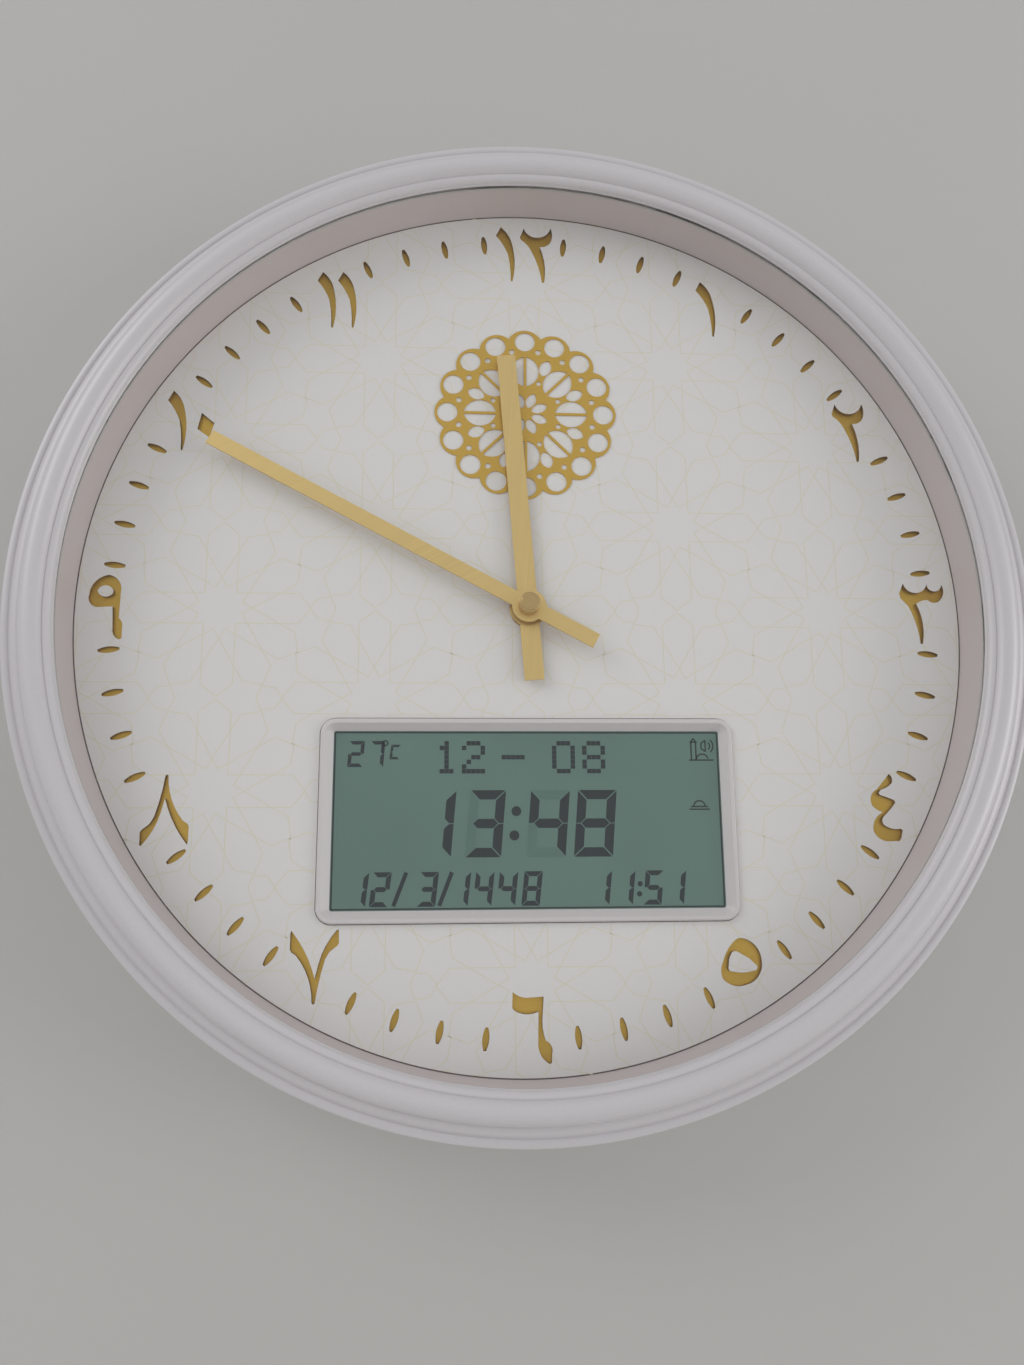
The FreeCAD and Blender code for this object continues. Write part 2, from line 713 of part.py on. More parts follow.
def board_capacitors():
    return Part.makeCompound([
        rod(CAPACITOR_R, BOARD_BACK_Y, BOARD_BACK_Y + CAPACITOR_H, *on_board(place))
        for place in CAPACITORS_AT
    ])


def temperature_sensor():
    x, z = on_board(SENSOR_AT)
    bead = Part.makeSphere(SENSOR_R, V(x, BOARD_BACK_Y + SENSOR_H, z))
    return bead.fuse(rod(SENSOR_LEG_R, BOARD_BACK_Y, BOARD_BACK_Y + SENSOR_H, x, z))


def board_screws():
    return Part.makeCompound([
        screw(SMALL_SCREW_R, SMALL_HEAD_R, SMALL_HEAD_T, BOARD_Y - 3, BOARD_BACK_Y, x, z)
        for x, z in board_screw_places()
    ])


def button_places():
    for k, name in enumerate(BUTTONS):
        yield name, (k - (len(BUTTONS) - 1) / 2) * BUTTON_PITCH


STEM_END_Y = BOARD_BACK_Y + SWITCH_BODY_T + SWITCH_STEM_T


def key_switches():
    parts = []
    for _, x in button_places():
        body = block(
            x - SWITCH_HALF, x + SWITCH_HALF, BOARD_BACK_Y, BOARD_BACK_Y + SWITCH_BODY_T,
            BUTTON_Z - SWITCH_HALF, BUTTON_Z + SWITCH_HALF,
        )
        well = rod(SWITCH_STEM_R + 0.2, BOARD_BACK_Y + 1.2, STEM_END_Y, x, BUTTON_Z)
        parts.append(body.cut(well))
    return Part.makeCompound(parts)


def push_button(x):
    """A cap through the rear cover, with a flange inside it and the switch's stem under it."""
    flange_y = -COVER_T - 1.6
    cap = rod(BUTTON_R, flange_y, BUTTON_PROUD, x, BUTTON_Z)
    edge = [e for e in cap.Edges if abs(e.BoundBox.YMin - BUTTON_PROUD) < 0.01]
    cap = cap.makeFillet(0.5, edge)
    flange = rod(BUTTON_R + 1.2, flange_y - 1.2, flange_y, x, BUTTON_Z)
    shank = rod(BUTTON_R - 1.4, STEM_END_Y, flange_y, x, BUTTON_Z)
    stem = rod(SWITCH_STEM_R, STEM_END_Y - 1.6, STEM_END_Y, x, BUTTON_Z)
    return cap.fuse([flange, shank, stem]).removeSplitter()


def slide_switch_body():
    y1 = BOARD_BACK_Y + 5
    x = SLIDER_X
    body = block(x - 7, x + 7, BOARD_BACK_Y, y1, SLIDER_Z - 3.5, SLIDER_Z + 3.5)
    half = (SLIDER_W + SLIDER_TRAVEL) / 2 + 0.3
    return body.cut(block(x - half, x + half, BOARD_BACK_Y + 1.5, y1 + 1, SLIDER_Z - 2, SLIDER_Z + 2))


def slide_switch_knob():
    """Rests at the left stop and travels towards +X."""
    x0 = SLIDER_X - (SLIDER_W + SLIDER_TRAVEL) / 2
    shoe = block(x0, x0 + SLIDER_W, BOARD_BACK_Y + 1.7, -COVER_T, SLIDER_Z - 1.8, SLIDER_Z + 1.8)
    ribs = [
        block(x, x + 0.5, -0.8, 0, SLIDER_Z - 3, SLIDER_Z + 3)
        for x in (x0 + 0.9, x0 + 1.9, x0 + 2.9)
    ]
    tip = block(x0 + 0.4, x0 + SLIDER_W - 0.4, -COVER_T, -0.8, SLIDER_Z - 1.8, SLIDER_Z + 1.8)
    pad = block(x0 + 0.4, x0 + SLIDER_W - 0.4, -COVER_T + 0.8, -0.8, SLIDER_Z - 3, SLIDER_Z + 3)
    return shoe.fuse([tip, pad] + ribs).removeSplitter()


# Rear cover

HANGER_Y1 = -COVER_T
HANGER_TIP_Y = -0.8
DOOR_X0 = BATTERY_X - TRAY_HALF_X - DOOR_LAP
DOOR_X1 = BATTERY_X + TRAY_HALF_X + DOOR_LAP
DOOR_Z = TRAY_HALF_Z + DOOR_LAP
HINGE_Y = -DOOR_INSET - DOOR_T / 2
HINGE_X = DOOR_X0 + DOOR_GAP + DOOR_T / 2


def rear_cover():
    shell = turned([
        (0, 0),
        (COVER_FLAT_R, 0),
        (COVER_R - 0.5, COVER_EDGE_Y + 0.5),
        (COVER_R, COVER_EDGE_Y),
        (COVER_R, SKIRT_END_Y),
        (SPIGOT_R, SKIRT_END_Y),
        (SPIGOT_R, SPIGOT_END_Y),
        (SPIGOT_R - SPIGOT_T, SPIGOT_END_Y),
        (SPIGOT_R - SPIGOT_T, COVER_EDGE_Y - 1.6),
        (COVER_FLAT_R - 1.0, -COVER_T),
        (0, -COVER_T),
    ])
    add = [
        rod(POST_R, SHEET_BACK_Y, -COVER_T, x, z)
        for x, z in on_ring(POST_RING_R, POST_COUNT, FULL_TURN / POST_COUNT / 2)
    ]
    case_places = list(on_ring(CASE_SCREW_RING, CASE_SCREWS, CASE_SCREW_FIRST))
    floor_y = SKIRT_END_Y + HEAD_SINK
    cups = [
        tube(SCREW_HEAD_R + 1.4, 1.0, BOSS_END_Y, COVER_EDGE_Y + 1.2, x, z) for x, z in case_places
    ]
    add += [cup.common(rod(SPIGOT_R - 0.2, BOSS_END_Y, 0)) for cup in cups]
    add.append(block(
        -WELL_HALF - WELL_WALL, WELL_HALF + WELL_WALL, WELL_END_Y, -COVER_T,
        -WELL_HALF - WELL_WALL, WELL_HALF + WELL_WALL,
    ))
    add.append(block(
        BATTERY_X - TRAY_HALF_X - TRAY_WALL, BATTERY_X + TRAY_HALF_X + TRAY_WALL,
        TRAY_END_Y - TRAY_WALL, -COVER_T, -TRAY_HALF_Z - TRAY_WALL, TRAY_HALF_Z + TRAY_WALL,
    ))
    add.append(block(
        DOOR_X0 - 2, DOOR_X1 + 2, -DOOR_T - DOOR_INSET - 1.6, -COVER_T, -DOOR_Z - 5, DOOR_Z + 5,
    ))
    add.append(tube(SPEAKER_R + 2.2, SPEAKER_R + 0.3, SPEAKER_Y - 5, -COVER_T, SPEAKER_X, SPEAKER_Z))
    add += [
        tube(BUTTON_R + 1.8, BUTTON_R + BUTTON_GAP, -COVER_T - 0.8, -COVER_T, x, BUTTON_Z)
        for _, x in button_places()
    ]
    cut = [block(-WELL_HALF, WELL_HALF, WELL_END_Y - 1, 1, -WELL_HALF, WELL_HALF)]
    cut.append(block(
        BATTERY_X - TRAY_HALF_X, BATTERY_X + TRAY_HALF_X, TRAY_END_Y, 1, -TRAY_HALF_Z, TRAY_HALF_Z,
    ))
    cut.append(block(
        DOOR_X0, DOOR_X1, -DOOR_T - DOOR_INSET, 1, -DOOR_Z, DOOR_Z,
    ))
    cut.append(rod_z(DOOR_PIN_R + RUN_GAP, HINGE_X, HINGE_Y, -DOOR_Z - 3.2, DOOR_Z + 3.2))
    latch_x = DOOR_X1 - DOOR_GAP
    cut.append(block(latch_x, latch_x + 3.5, -2.2, 1, -6, 6))
    for k in range(GRILLE_SLOTS):
        dz = (k - (GRILLE_SLOTS - 1) / 2) * GRILLE_PITCH
        half = math.sqrt((SPEAKER_R - 3) ** 2 - dz ** 2)
        cut.append(grille_slot(SPEAKER_X, SPEAKER_Z + dz, half))
    for _, x in button_places():
        cut.append(rod(BUTTON_R + BUTTON_GAP, -COVER_T - 2, 1, x, BUTTON_Z))
    half = (SLIDER_W + SLIDER_TRAVEL) / 2 + SLIDER_SLOT_GAP
    cut.append(block(
        SLIDER_X - half, SLIDER_X + half, -COVER_T - 1, 1, SLIDER_Z - 3.4, SLIDER_Z + 3.4,
    ))
    cut += rear_marks()
    for x, z in case_places:
        cut.append(rod(CASE_BOSS_R + BOSS_GAP, SPIGOT_END_Y - 1, BOSS_END_Y, x, z))
        cut.append(rod(SCREW_HEAD_R + 0.3, floor_y, 1, x, z))
        cut.append(rod(SCREW_R + SCREW_HOLE_GAP, BOSS_END_Y - 1, 1, x, z))
    cut.append(block(-8.5, 8.5, -COVER_T - 1, 1, HANGER_Z - 8, HANGER_Z + KEY_DROP + 5))
    cut += [
        rod(SMALL_SCREW_R, -COVER_T - 1, HANGER_TIP_Y, sx * HANGER_SCREW_X, HANGER_MID_Z)
        for sx in (-1, 1)
    ]
    return shell.fuse(add).cut(cut).removeSplitter()


def rear_marks():
    """Shallow marks in the rear face: arrows over two buttons, and a bar and a ring for the switch."""
    places = dict(button_places())
    z = BUTTON_Z + BUTTON_R + 4.0
    marks = [
        slab(Part.Face(polygon([(x - 2.0, z - 1.6 * up), (x + 2.0, z - 1.6 * up), (x, z + 1.6 * up)])),
             -MARK_DEPTH, 1)
        for x, up in ((places["up"], 1), (places["down"], -1))
    ]
    side = (SLIDER_W + SLIDER_TRAVEL) / 2 + 5.0
    marks.append(tube(1.7, 1.1, -MARK_DEPTH, 1, SLIDER_X - side, SLIDER_Z))
    x = SLIDER_X + side
    marks.append(block(x - 0.3, x + 0.3, -MARK_DEPTH, 1, SLIDER_Z - 1.7, SLIDER_Z + 1.7))
    return marks


def rod_z(radius, x, y, z0, z1):
    return Part.makeCylinder(radius, z1 - z0, V(x, y, z0), V(0, 0, 1))


def rod_x(radius, x0, x1, y, z):
    return Part.makeCylinder(radius, x1 - x0, V(x0, y, z), V(1, 0, 0))


def grille_slot(x, z, half):
    r = GRILLE_W / 2
    wire = outline([
        (-half, r), (half, r), (half + r, 0, half, -r), (-half, -r), (-half - r, 0, -half, r),
    ], x, z)
    return slab(Part.Face(wire), -COVER_T - 1, 1)


def battery_door():
    """A flat lid that swings out on two pins at its outer edge, with a springy latch opposite."""
    x0 = HINGE_X
    x1 = DOOR_X1 - DOOR_GAP
    y0 = -DOOR_INSET - DOOR_T
    zh = DOOR_Z - DOOR_GAP
    plate = block(x0, x1, y0, -DOOR_INSET, -zh, zh)
    knuckle = rod_z(DOOR_T / 2, HINGE_X, HINGE_Y, -zh, zh)
    pins = rod_z(DOOR_PIN_R, HINGE_X, HINGE_Y, -DOOR_Z - 2.8, DOOR_Z + 2.8)
    tongue = block(x1 - 0.5, x1 + 2.6, -1.7, -DOOR_INSET, -5, 5)
    grips = [block(x, x + 0.8, -DOOR_INSET - 0.4, 0, -7, 7) for x in (x1 - 12, x1 - 9.5, x1 - 7)]
    return plate.fuse([knuckle, pins, tongue]).cut(grips).removeSplitter()


# Hanging plate

def keyhole(y0, y1):
    """Entry for the nail's head below, with its slot running up to the narrow end."""
    w = KEY_SLOT_W / 2
    head = rod(KEY_HEAD_R, y0, y1, 0, HANGER_Z)
    slot = block(-w, w, y0, y1, HANGER_Z, HANGER_Z + KEY_DROP)
    return head.fuse([slot, rod(w, y0, y1, 0, HANGER_Z + KEY_DROP)])


HANGER_SCREW_X = HANGER_W / 2 - 4.5
HANGER_MID_Z = HANGER_Z + 3.0


def hanger_plate():
    wire = rounded_rectangle(HANGER_W, HANGER_H, 3, 0, HANGER_MID_Z)
    plate = slab(Part.Face(wire), HANGER_Y1 - HANGER_T, HANGER_Y1)
    holes = [
        rod(
            SMALL_SCREW_R + SCREW_HOLE_GAP, HANGER_Y1 - HANGER_T - 1, HANGER_Y1 + 1,
            sx * HANGER_SCREW_X, HANGER_MID_Z,
        )
        for sx in (-1, 1)
    ]
    return plate.cut(holes + [keyhole(HANGER_Y1 - HANGER_T - 1, HANGER_Y1 + 1)])


def hanger_screws():
    y_head = HANGER_Y1 - HANGER_T
    return Part.makeCompound([
        screw(SMALL_SCREW_R, SMALL_HEAD_R, SMALL_HEAD_T, HANGER_TIP_Y, y_head, x, HANGER_MID_Z)
        for x in (-HANGER_SCREW_X, HANGER_SCREW_X)
    ])


def case_screws():
    floor_y = SKIRT_END_Y + HEAD_SINK
    return Part.makeCompound([
        screw(SCREW_R, SCREW_HEAD_R, SCREW_HEAD_T, BOSS_END_Y - CASE_SCREW_LEN, floor_y, x, z)
        for x, z in on_ring(CASE_SCREW_RING, CASE_SCREWS, CASE_SCREW_FIRST)
    ])


def dial_screws():
    tip_y = DIAL_Y - RING_FLANGE_T + 0.8
    return Part.makeCompound([
        screw(SMALL_SCREW_R, SMALL_HEAD_R, SMALL_HEAD_T, tip_y, SHEET_BACK_Y, x, z)
        for x, z in on_ring(DIAL_SCREW_RING, DIAL_SCREWS)
    ])


# Cells and their contacts

def cell(x_flat, y, z, toward):
    """An AA cell along X, its flat end at x_flat and its nub pointing to toward."""
    end = x_flat + toward * CELL_LEN
    body = rod_x(CELL_R, min(x_flat, end), max(x_flat, end), y, z)
    rims = [e for e in body.Edges if e.BoundBox.XLength < 0.01]
    body = body.makeFillet(0.6, rims)
    tip = end + toward * NUB_LEN
    return body.fuse(rod_x(NUB_R, min(end, tip), max(end, tip), y, z)).removeSplitter()


def contact_spring(x_plate, y, z, toward, length):
    """A cone-shaped sleeve that stands for the wound spring under a cell's flat end."""
    tip = V(x_plate, y, z)
    along = V(toward, 0, 0)
    outer = Part.makeCone(4.6, 3.0, length, tip, along)
    return outer.cut(Part.makeCone(3.9, 2.3, length, tip, along))


CONTACT_T = 0.5
PLUS_X = BATTERY_X + TRAY_HALF_X - CONTACT_T
MINUS_X = BATTERY_X - TRAY_HALF_X + CONTACT_T
SPRING_LEN = PLUS_X - MINUS_X - CELL_LEN - NUB_LEN
MOVEMENT_CELL_Y = -17.4
MOVEMENT_CELL_Z = -19.0
BAY_HALF_X = MOVEMENT_HALF - MOVEMENT_WALL
BAY_SPRING_LEN = 2 * (BAY_HALF_X - CONTACT_T) - CELL_LEN - NUB_LEN


def cell_rows():
    for k in range(CELLS):
        yield (k - (CELLS - 1) / 2) * CELL_PITCH, 1 if k % 2 == 0 else -1


def batteries():
    parts = []
    for z, toward in cell_rows():
        plate_x = MINUS_X if toward > 0 else PLUS_X
        parts.append(cell(plate_x + toward * SPRING_LEN, BATTERY_Y, z, toward))
    return Part.makeCompound(parts)


def movement_battery():
    x_flat = -BAY_HALF_X + CONTACT_T + BAY_SPRING_LEN
    return cell(x_flat, MOVEMENT_CELL_Y, MOVEMENT_CELL_Z, 1)


def battery_springs():
    parts = []
    for z, toward in cell_rows():
        plate_x = MINUS_X if toward > 0 else PLUS_X
        parts.append(contact_spring(plate_x, BATTERY_Y, z, toward, SPRING_LEN))
    bay_x = -BAY_HALF_X + CONTACT_T
    parts.append(contact_spring(bay_x, MOVEMENT_CELL_Y, MOVEMENT_CELL_Z, 1, BAY_SPRING_LEN))
    return Part.makeCompound(parts)


def battery_plates():
    parts = []
    half = 5.5
    for z, _ in cell_rows():
        for x0 in (BATTERY_X - TRAY_HALF_X, PLUS_X):
            parts.append(block(
                x0, x0 + CONTACT_T, BATTERY_Y - half, BATTERY_Y + half, z - half, z + half,
            ))
    for x0 in (-BAY_HALF_X, BAY_HALF_X - CONTACT_T):
        parts.append(block(
            x0, x0 + CONTACT_T, MOVEMENT_CELL_Y - half, MOVEMENT_CELL_Y + half,
            MOVEMENT_CELL_Z - half, MOVEMENT_CELL_Z + half,
        ))
    return Part.makeCompound(parts)


# Speaker, its cone facing the grille in the rear cover

BASKET_R = SPEAKER_R - 2.7
BASKET_SIDE_Y = SPEAKER_Y - 4.2
BASKET_END_Y = SPEAKER_Y - SPEAKER_DEPTH - 1.6
BASKET_T = 0.8
COIL_R = 6.4
COIL_T = 0.6
COIL_GAP = 0.5
CONE_TRAVEL = 0.8


def at_speaker(shape):
    shape.translate(V(SPEAKER_X, 0, SPEAKER_Z))
    return shape


def speaker_frame():
    return at_speaker(turned([
        (SPEAKER_R, SPEAKER_Y),
        (SPEAKER_R, SPEAKER_Y - 2.0),
        (BASKET_R + BASKET_T, SPEAKER_Y - 2.0),
        (BASKET_R + BASKET_T, BASKET_SIDE_Y),
        (MAGNET_R + 1.5, BASKET_END_Y),
        (COIL_R + COIL_T + COIL_GAP, BASKET_END_Y),
        (COIL_R + COIL_T + COIL_GAP, BASKET_END_Y + BASKET_T),
        (MAGNET_R + 1.0, BASKET_END_Y + BASKET_T),
        (BASKET_R, BASKET_SIDE_Y + BASKET_T / 2),
        (BASKET_R, SPEAKER_Y),
    ]))


def speaker_magnet():
    y0 = BASKET_END_Y - MAGNET_T
    groove = tube(
        COIL_R + COIL_T + COIL_GAP, COIL_R - COIL_GAP, y0 + 1.0, BASKET_END_Y + 1,
    )
    return at_speaker(rod(MAGNET_R, y0, BASKET_END_Y).cut(groove))


def speaker_cone():
    rim_y = SPEAKER_Y - 1.2
    neck_y = rim_y - 5.2
    thick = 0.6
    coil_end_y = BASKET_END_Y - MAGNET_T + 1.0 + CONE_TRAVEL + 0.4
    return at_speaker(turned([
        (0, neck_y + 1.6),
        (COIL_R * 0.5, neck_y + 1.4),
        (COIL_R, neck_y),
        (BASKET_R - 3.4, rim_y - 1.0),
        (BASKET_R - 2.0, rim_y, BASKET_R - 0.6, rim_y - 1.0),
        (BASKET_R - 0.6, rim_y - 1.0 - thick),
        (BASKET_R - 2.0, rim_y - thick, BASKET_R - 3.4, rim_y - 1.0 - thick),
        (COIL_R + COIL_T, neck_y - thick),
        (COIL_R + COIL_T, coil_end_y),
        (COIL_R, coil_end_y),
        (COIL_R, neck_y - thick),
        (COIL_R * 0.5, neck_y + 1.4 - thick),
        (0, neck_y + 1.6 - thick),
    ]))


# Movement case and what holds it to the dial

def movement_front_case():
    h = MOVEMENT_HALF
    i = BAY_HALF_X
    y_in = MOVEMENT_Y + MOVEMENT_FRONT_T
    box = block(-h, h, MOVEMENT_Y, MOVEMENT_MID_Y, -h, h)
    upright = [e for e in box.Edges if e.BoundBox.XLength + e.BoundBox.ZLength < 0.01]
    box = box.makeFillet(MOVEMENT_CORNER, upright)
    train = block(-i, i, y_in, MOVEMENT_MID_Y + 1, BAY_Z + MOVEMENT_WALL, i)
    bay = block(-i, i, y_in, MOVEMENT_MID_Y + 1, -i, BAY_Z)
    neck = rod(NECK_R, NECK_END_Y, MOVEMENT_Y)
    posts = [rod(1.5, y_in, BRIDGE_Y, x, z) for x, z in BRIDGE_POSTS]
    shape = box.cut([train, bay]).fuse([neck] + posts)
    pivots = [
        rod(PIN_R + RUN_GAP, PIVOT_FRONT_Y, y_in + 1, x, z) for x, z in (MOTION_AT, THIRD_AT)
    ]
    return shape.cut([rod(HOUR_TUBE_R + RUN_GAP, NECK_END_Y - 1, y_in + 1)] + pivots)


def movement_rear_case():
    """A lid over the wheels; the cell's bay below stays open."""
    h = MOVEMENT_HALF
    lid = block(-h, h, MOVEMENT_MID_Y, MOVEMENT_BACK_Y, BAY_Z, h)
    upright = [e for e in lid.Edges if e.BoundBox.XLength + e.BoundBox.ZLength < 0.01]
    lid = lid.makeFillet(MOVEMENT_CORNER, [e for e in upright if e.BoundBox.ZMax > h - 1])
    pivots = [
        rod(PIN_R + RUN_GAP, MOVEMENT_MID_Y - 1, PIVOT_REAR_Y, x, z)
        for x, z in (THIRD_AT, (0.0, 0.0), FIFTH_AT, ROTOR_AT)
    ]
    arbor = rod(MOTION_ARBOR_R + RUN_GAP, MOVEMENT_MID_Y - 1, MOVEMENT_BACK_Y + 1, *MOTION_AT)
    return lid.cut(pivots + [arbor])


def hexagon(flats):
    r = flats / math.sqrt(3)
    return polygon([
        (r * math.cos(math.radians(60 * k)), r * math.sin(math.radians(60 * k))) for k in range(6)
    ])


def mounting_nut():
    y1 = DIAL_Y - WASHER_T
    nut = slab(Part.Face(hexagon(NUT_FLATS)), y1 - NUT_T, y1)
    return nut.cut(rod(NECK_R, y1 - NUT_T - 1, y1 + 1))


def dial_washer():
    return tube(WASHER_R, NECK_R, DIAL_Y - WASHER_T, DIAL_Y)


def rubber_washer():
    return tube(9.0, NECK_R, SHEET_BACK_Y, MOVEMENT_Y)


# Wheels of the movement

MOTION_AT = (MOTION_D, 0.0)
THIRD_AT = (0.0, TRAIN_D)
FIFTH_AT = (FIFTH_X, 0.0)
ROTOR_AT = (ROTOR_X, 0.0)
MOTION_ARBOR_R = 0.9
PIVOT_FRONT_Y = -25.5
PIVOT_REAR_Y = -10.2
BRIDGE_Y = -20.5
BRIDGE_T = 0.5
BRIDGE_POSTS = [(-18.0, 14.0), (14.0, 14.0), (-18.0, -6.5)]
ARBOR_END_Y = -20.1


def gear(teeth, module, y0, y1, at, toward, gap):
    """A spur wheel with a tooth, or a gap, in the direction toward, in degrees from +X to +Z."""
    pitch = FULL_TURN / teeth
    rim = teeth * module / 2
    root = rim - DEDENDUM * module
    tip = rim + ADDENDUM * module
    corners = []
    for k in range(teeth):
        middle = toward + pitch * (k + (0.5 if gap else 0.0))
        for radius, share in (
            (root, -TOOTH_ROOT_HALF), (tip, -TOOTH_TIP_HALF), (tip, TOOTH_TIP_HALF),
            (root, TOOTH_ROOT_HALF),
        ):
            angle = math.radians(middle + share * pitch)
            corners.append((at[0] + radius * math.cos(angle), at[1] + radius * math.sin(angle)))
    return slab(Part.Face(polygon(corners)), y0, y1)


def module_for(distance, teeth_a, teeth_b):
    return 2 * distance / (teeth_a + teeth_b)


FAST_MODULE = module_for(MOTION_D, CANNON_TEETH, MINUTE_WHEEL_TEETH)
SLOW_MODULE = module_for(MOTION_D, MINUTE_PINION_TEETH, HOUR_WHEEL_TEETH)
CENTRE_MODULE = module_for(TRAIN_D, CENTRE_TEETH, THIRD_PINION_TEETH)
THIRD_MODULE = module_for(TRAIN_D, THIRD_TEETH, FOURTH_PINION_TEETH)


def hour_wheel():
    y1 = HOUR_WHEEL_Y + WHEEL_T
    wheel = gear(HOUR_WHEEL_TEETH, SLOW_MODULE, HOUR_WHEEL_Y, y1, (0, 0), 0, True)
    pipe = rod(HOUR_TUBE_R, HOUR_HAND_Y - 0.2, y1)
    return wheel.fuse(pipe).cut(rod(MINUTE_ARBOR_R + RUN_GAP, HOUR_HAND_Y - 1, y1 + 1))


def centre_wheel():
    """The minute hand's arbor with its pinion and wheel; the fourth arbor runs in its rear end."""
    pinion = gear(
        CANNON_TEETH, FAST_MODULE, MINUTE_WHEEL_Y, MINUTE_WHEEL_Y + WHEEL_T, (0, 0), 0, False,
    )
    wheel = gear(
        CENTRE_TEETH, CENTRE_MODULE, CENTRE_WHEEL_Y, CENTRE_WHEEL_Y + WHEEL_T, (0, 0), 90, False,
    )
    arbor = rod(MINUTE_ARBOR_R, MINUTE_HAND_Y - 1.5, ARBOR_END_Y)
    shape = arbor.fuse([pinion, wheel])
    return shape.cut(rod(PIN_R + RUN_GAP, ARBOR_END_Y - 2.8, ARBOR_END_Y + 1))


def motion_wheel():
    wheel = gear(
        MINUTE_WHEEL_TEETH, FAST_MODULE, MINUTE_WHEEL_Y, MINUTE_WHEEL_Y + WHEEL_T,
        MOTION_AT, 180, True,
    )
    pinion = gear(
        MINUTE_PINION_TEETH, SLOW_MODULE, HOUR_WHEEL_Y, MINUTE_WHEEL_Y, MOTION_AT, 180, False,
    )
    pin = rod(PIN_R, PIVOT_FRONT_Y + 0.2, HOUR_WHEEL_Y, *MOTION_AT)
    arbor = rod(MOTION_ARBOR_R, MINUTE_WHEEL_Y, KNOB_END_Y - 1.5, *MOTION_AT)
    return wheel.fuse([pinion, pin, arbor])


def set_knob():
    y0 = MOVEMENT_BACK_Y + 0.4
    knob = rod(KNOB_R, y0 + 1.2, KNOB_END_Y, *MOTION_AT).fuse(
        rod(KNOB_R * 0.5, y0, y0 + 1.2, *MOTION_AT))
    x, z = MOTION_AT
    flutes = [
        rod(0.6, y0 + 1.2, KNOB_END_Y + 1, x + px, z + pz) for px, pz in on_ring(KNOB_R + 0.15, 24)
    ]
    return knob.cut(flutes + [rod(MOTION_ARBOR_R, y0 - 1, KNOB_END_Y - 1.5, x, z)])


def third_wheel():
    y0 = CENTRE_WHEEL_Y - 0.1
    pinion = gear(THIRD_PINION_TEETH, CENTRE_MODULE, y0, y0 + WHEEL_T + 0.2, THIRD_AT, 270, True)
    wheel = gear(
        THIRD_TEETH, THIRD_MODULE, THIRD_WHEEL_Y, THIRD_WHEEL_Y + WHEEL_T, THIRD_AT, 270, False,
    )
    arbor = rod(PIN_R, PIVOT_FRONT_Y + 0.2, PIVOT_REAR_Y - 0.2, *THIRD_AT)
    return arbor.fuse([pinion, wheel])


def fourth_wheel():
    y0 = THIRD_WHEEL_Y - 0.1
    pinion = gear(FOURTH_PINION_TEETH, THIRD_MODULE, y0, y0 + WHEEL_T + 0.2, (0, 0), 90, True)
    wheel = gear(
        FOURTH_TEETH, FOURTH_MODULE, FOURTH_WHEEL_Y, FOURTH_WHEEL_Y + WHEEL_T, (0, 0), 0, False,
    )
    arbor = rod(PIN_R, ARBOR_END_Y - 2.6, PIVOT_REAR_Y - 0.2)
    return arbor.fuse([pinion, wheel])


def fifth_wheel():
    y0 = FOURTH_WHEEL_Y - 0.2
    parts = [
        rod(FIFTH_R, y0 + 1.1, y0 + 1.6, *FIFTH_AT),
        rod(1.7, y0, y0 + 1.1, *FIFTH_AT),
        rod(PIN_R + RUN_GAP, BRIDGE_Y + BRIDGE_T, PIVOT_REAR_Y, *FIFTH_AT),
    ]
    return joined(parts)


def movement_rotor():
    y0 = FOURTH_WHEEL_Y + 0.9
    parts = [
        rod(1.5, y0, y0 + 0.8, *ROTOR_AT),
        rod(ROTOR_R, y0 + 0.8, y0 + 3.4, *ROTOR_AT),
        rod(PIN_R + RUN_GAP, BRIDGE_Y + BRIDGE_T, PIVOT_REAR_Y, *ROTOR_AT),
    ]
    return joined(parts)


def train_bridge():
    y1 = BRIDGE_Y + BRIDGE_T
    plate = block(-20.5, 16.5, BRIDGE_Y, y1, -9.0, 17.0)
    return plate.cut([
        rod(MINUTE_ARBOR_R + RUN_GAP, BRIDGE_Y - 1, y1 + 1),
        rod(PIN_R + RUN_GAP, BRIDGE_Y - 1, y1 + 1, *THIRD_AT),
        rod(MOTION_ARBOR_R + 0.4, BRIDGE_Y - 1, y1 + 1, *MOTION_AT),
    ])


STATOR_Y = -16.0
STATOR_T = 1.0
COIL_Z = 22.2
WINDING_R = 3.5


def movement_stator():
    outer = polygon([
        (-25.0, 23.8), (-0.8, 23.8), (-0.8, 17.0), (-8.8, 5.0), (-8.8, -5.0), (-25.0, -5.0),
    ])
    inner = polygon([(-22.5, 20.6), (-3.2, 20.6), (-3.2, 18.4), (-10.5, 5.2), (-22.5, 5.2)])
    hole = circle_wire(ROTOR_R + 0.4, *ROTOR_AT)
    return plate_with_holes(outer, [inner, hole], STATOR_Y, STATOR_Y + STATOR_T)


def movement_coil():
    """Copper wound on the stator's upper bar between two cheeks."""
    y = STATOR_Y + STATOR_T / 2
    winding = rod_x(WINDING_R - 0.4, -21.5, -4.2, y, COIL_Z)
    cheeks = [rod_x(WINDING_R, x, x + 0.8, y, COIL_Z) for x in (-22.3, -4.2)]
    core = block(-MOVEMENT_HALF, 0, STATOR_Y, STATOR_Y + STATOR_T, 20.6, 23.8)
    return joined([winding] + cheeks).cut(core)


def movement_board():
    return block(2.0, 25.5, MOVEMENT_MID_Y - 1.0, MOVEMENT_MID_Y, 13.0, 25.5)


# Hands

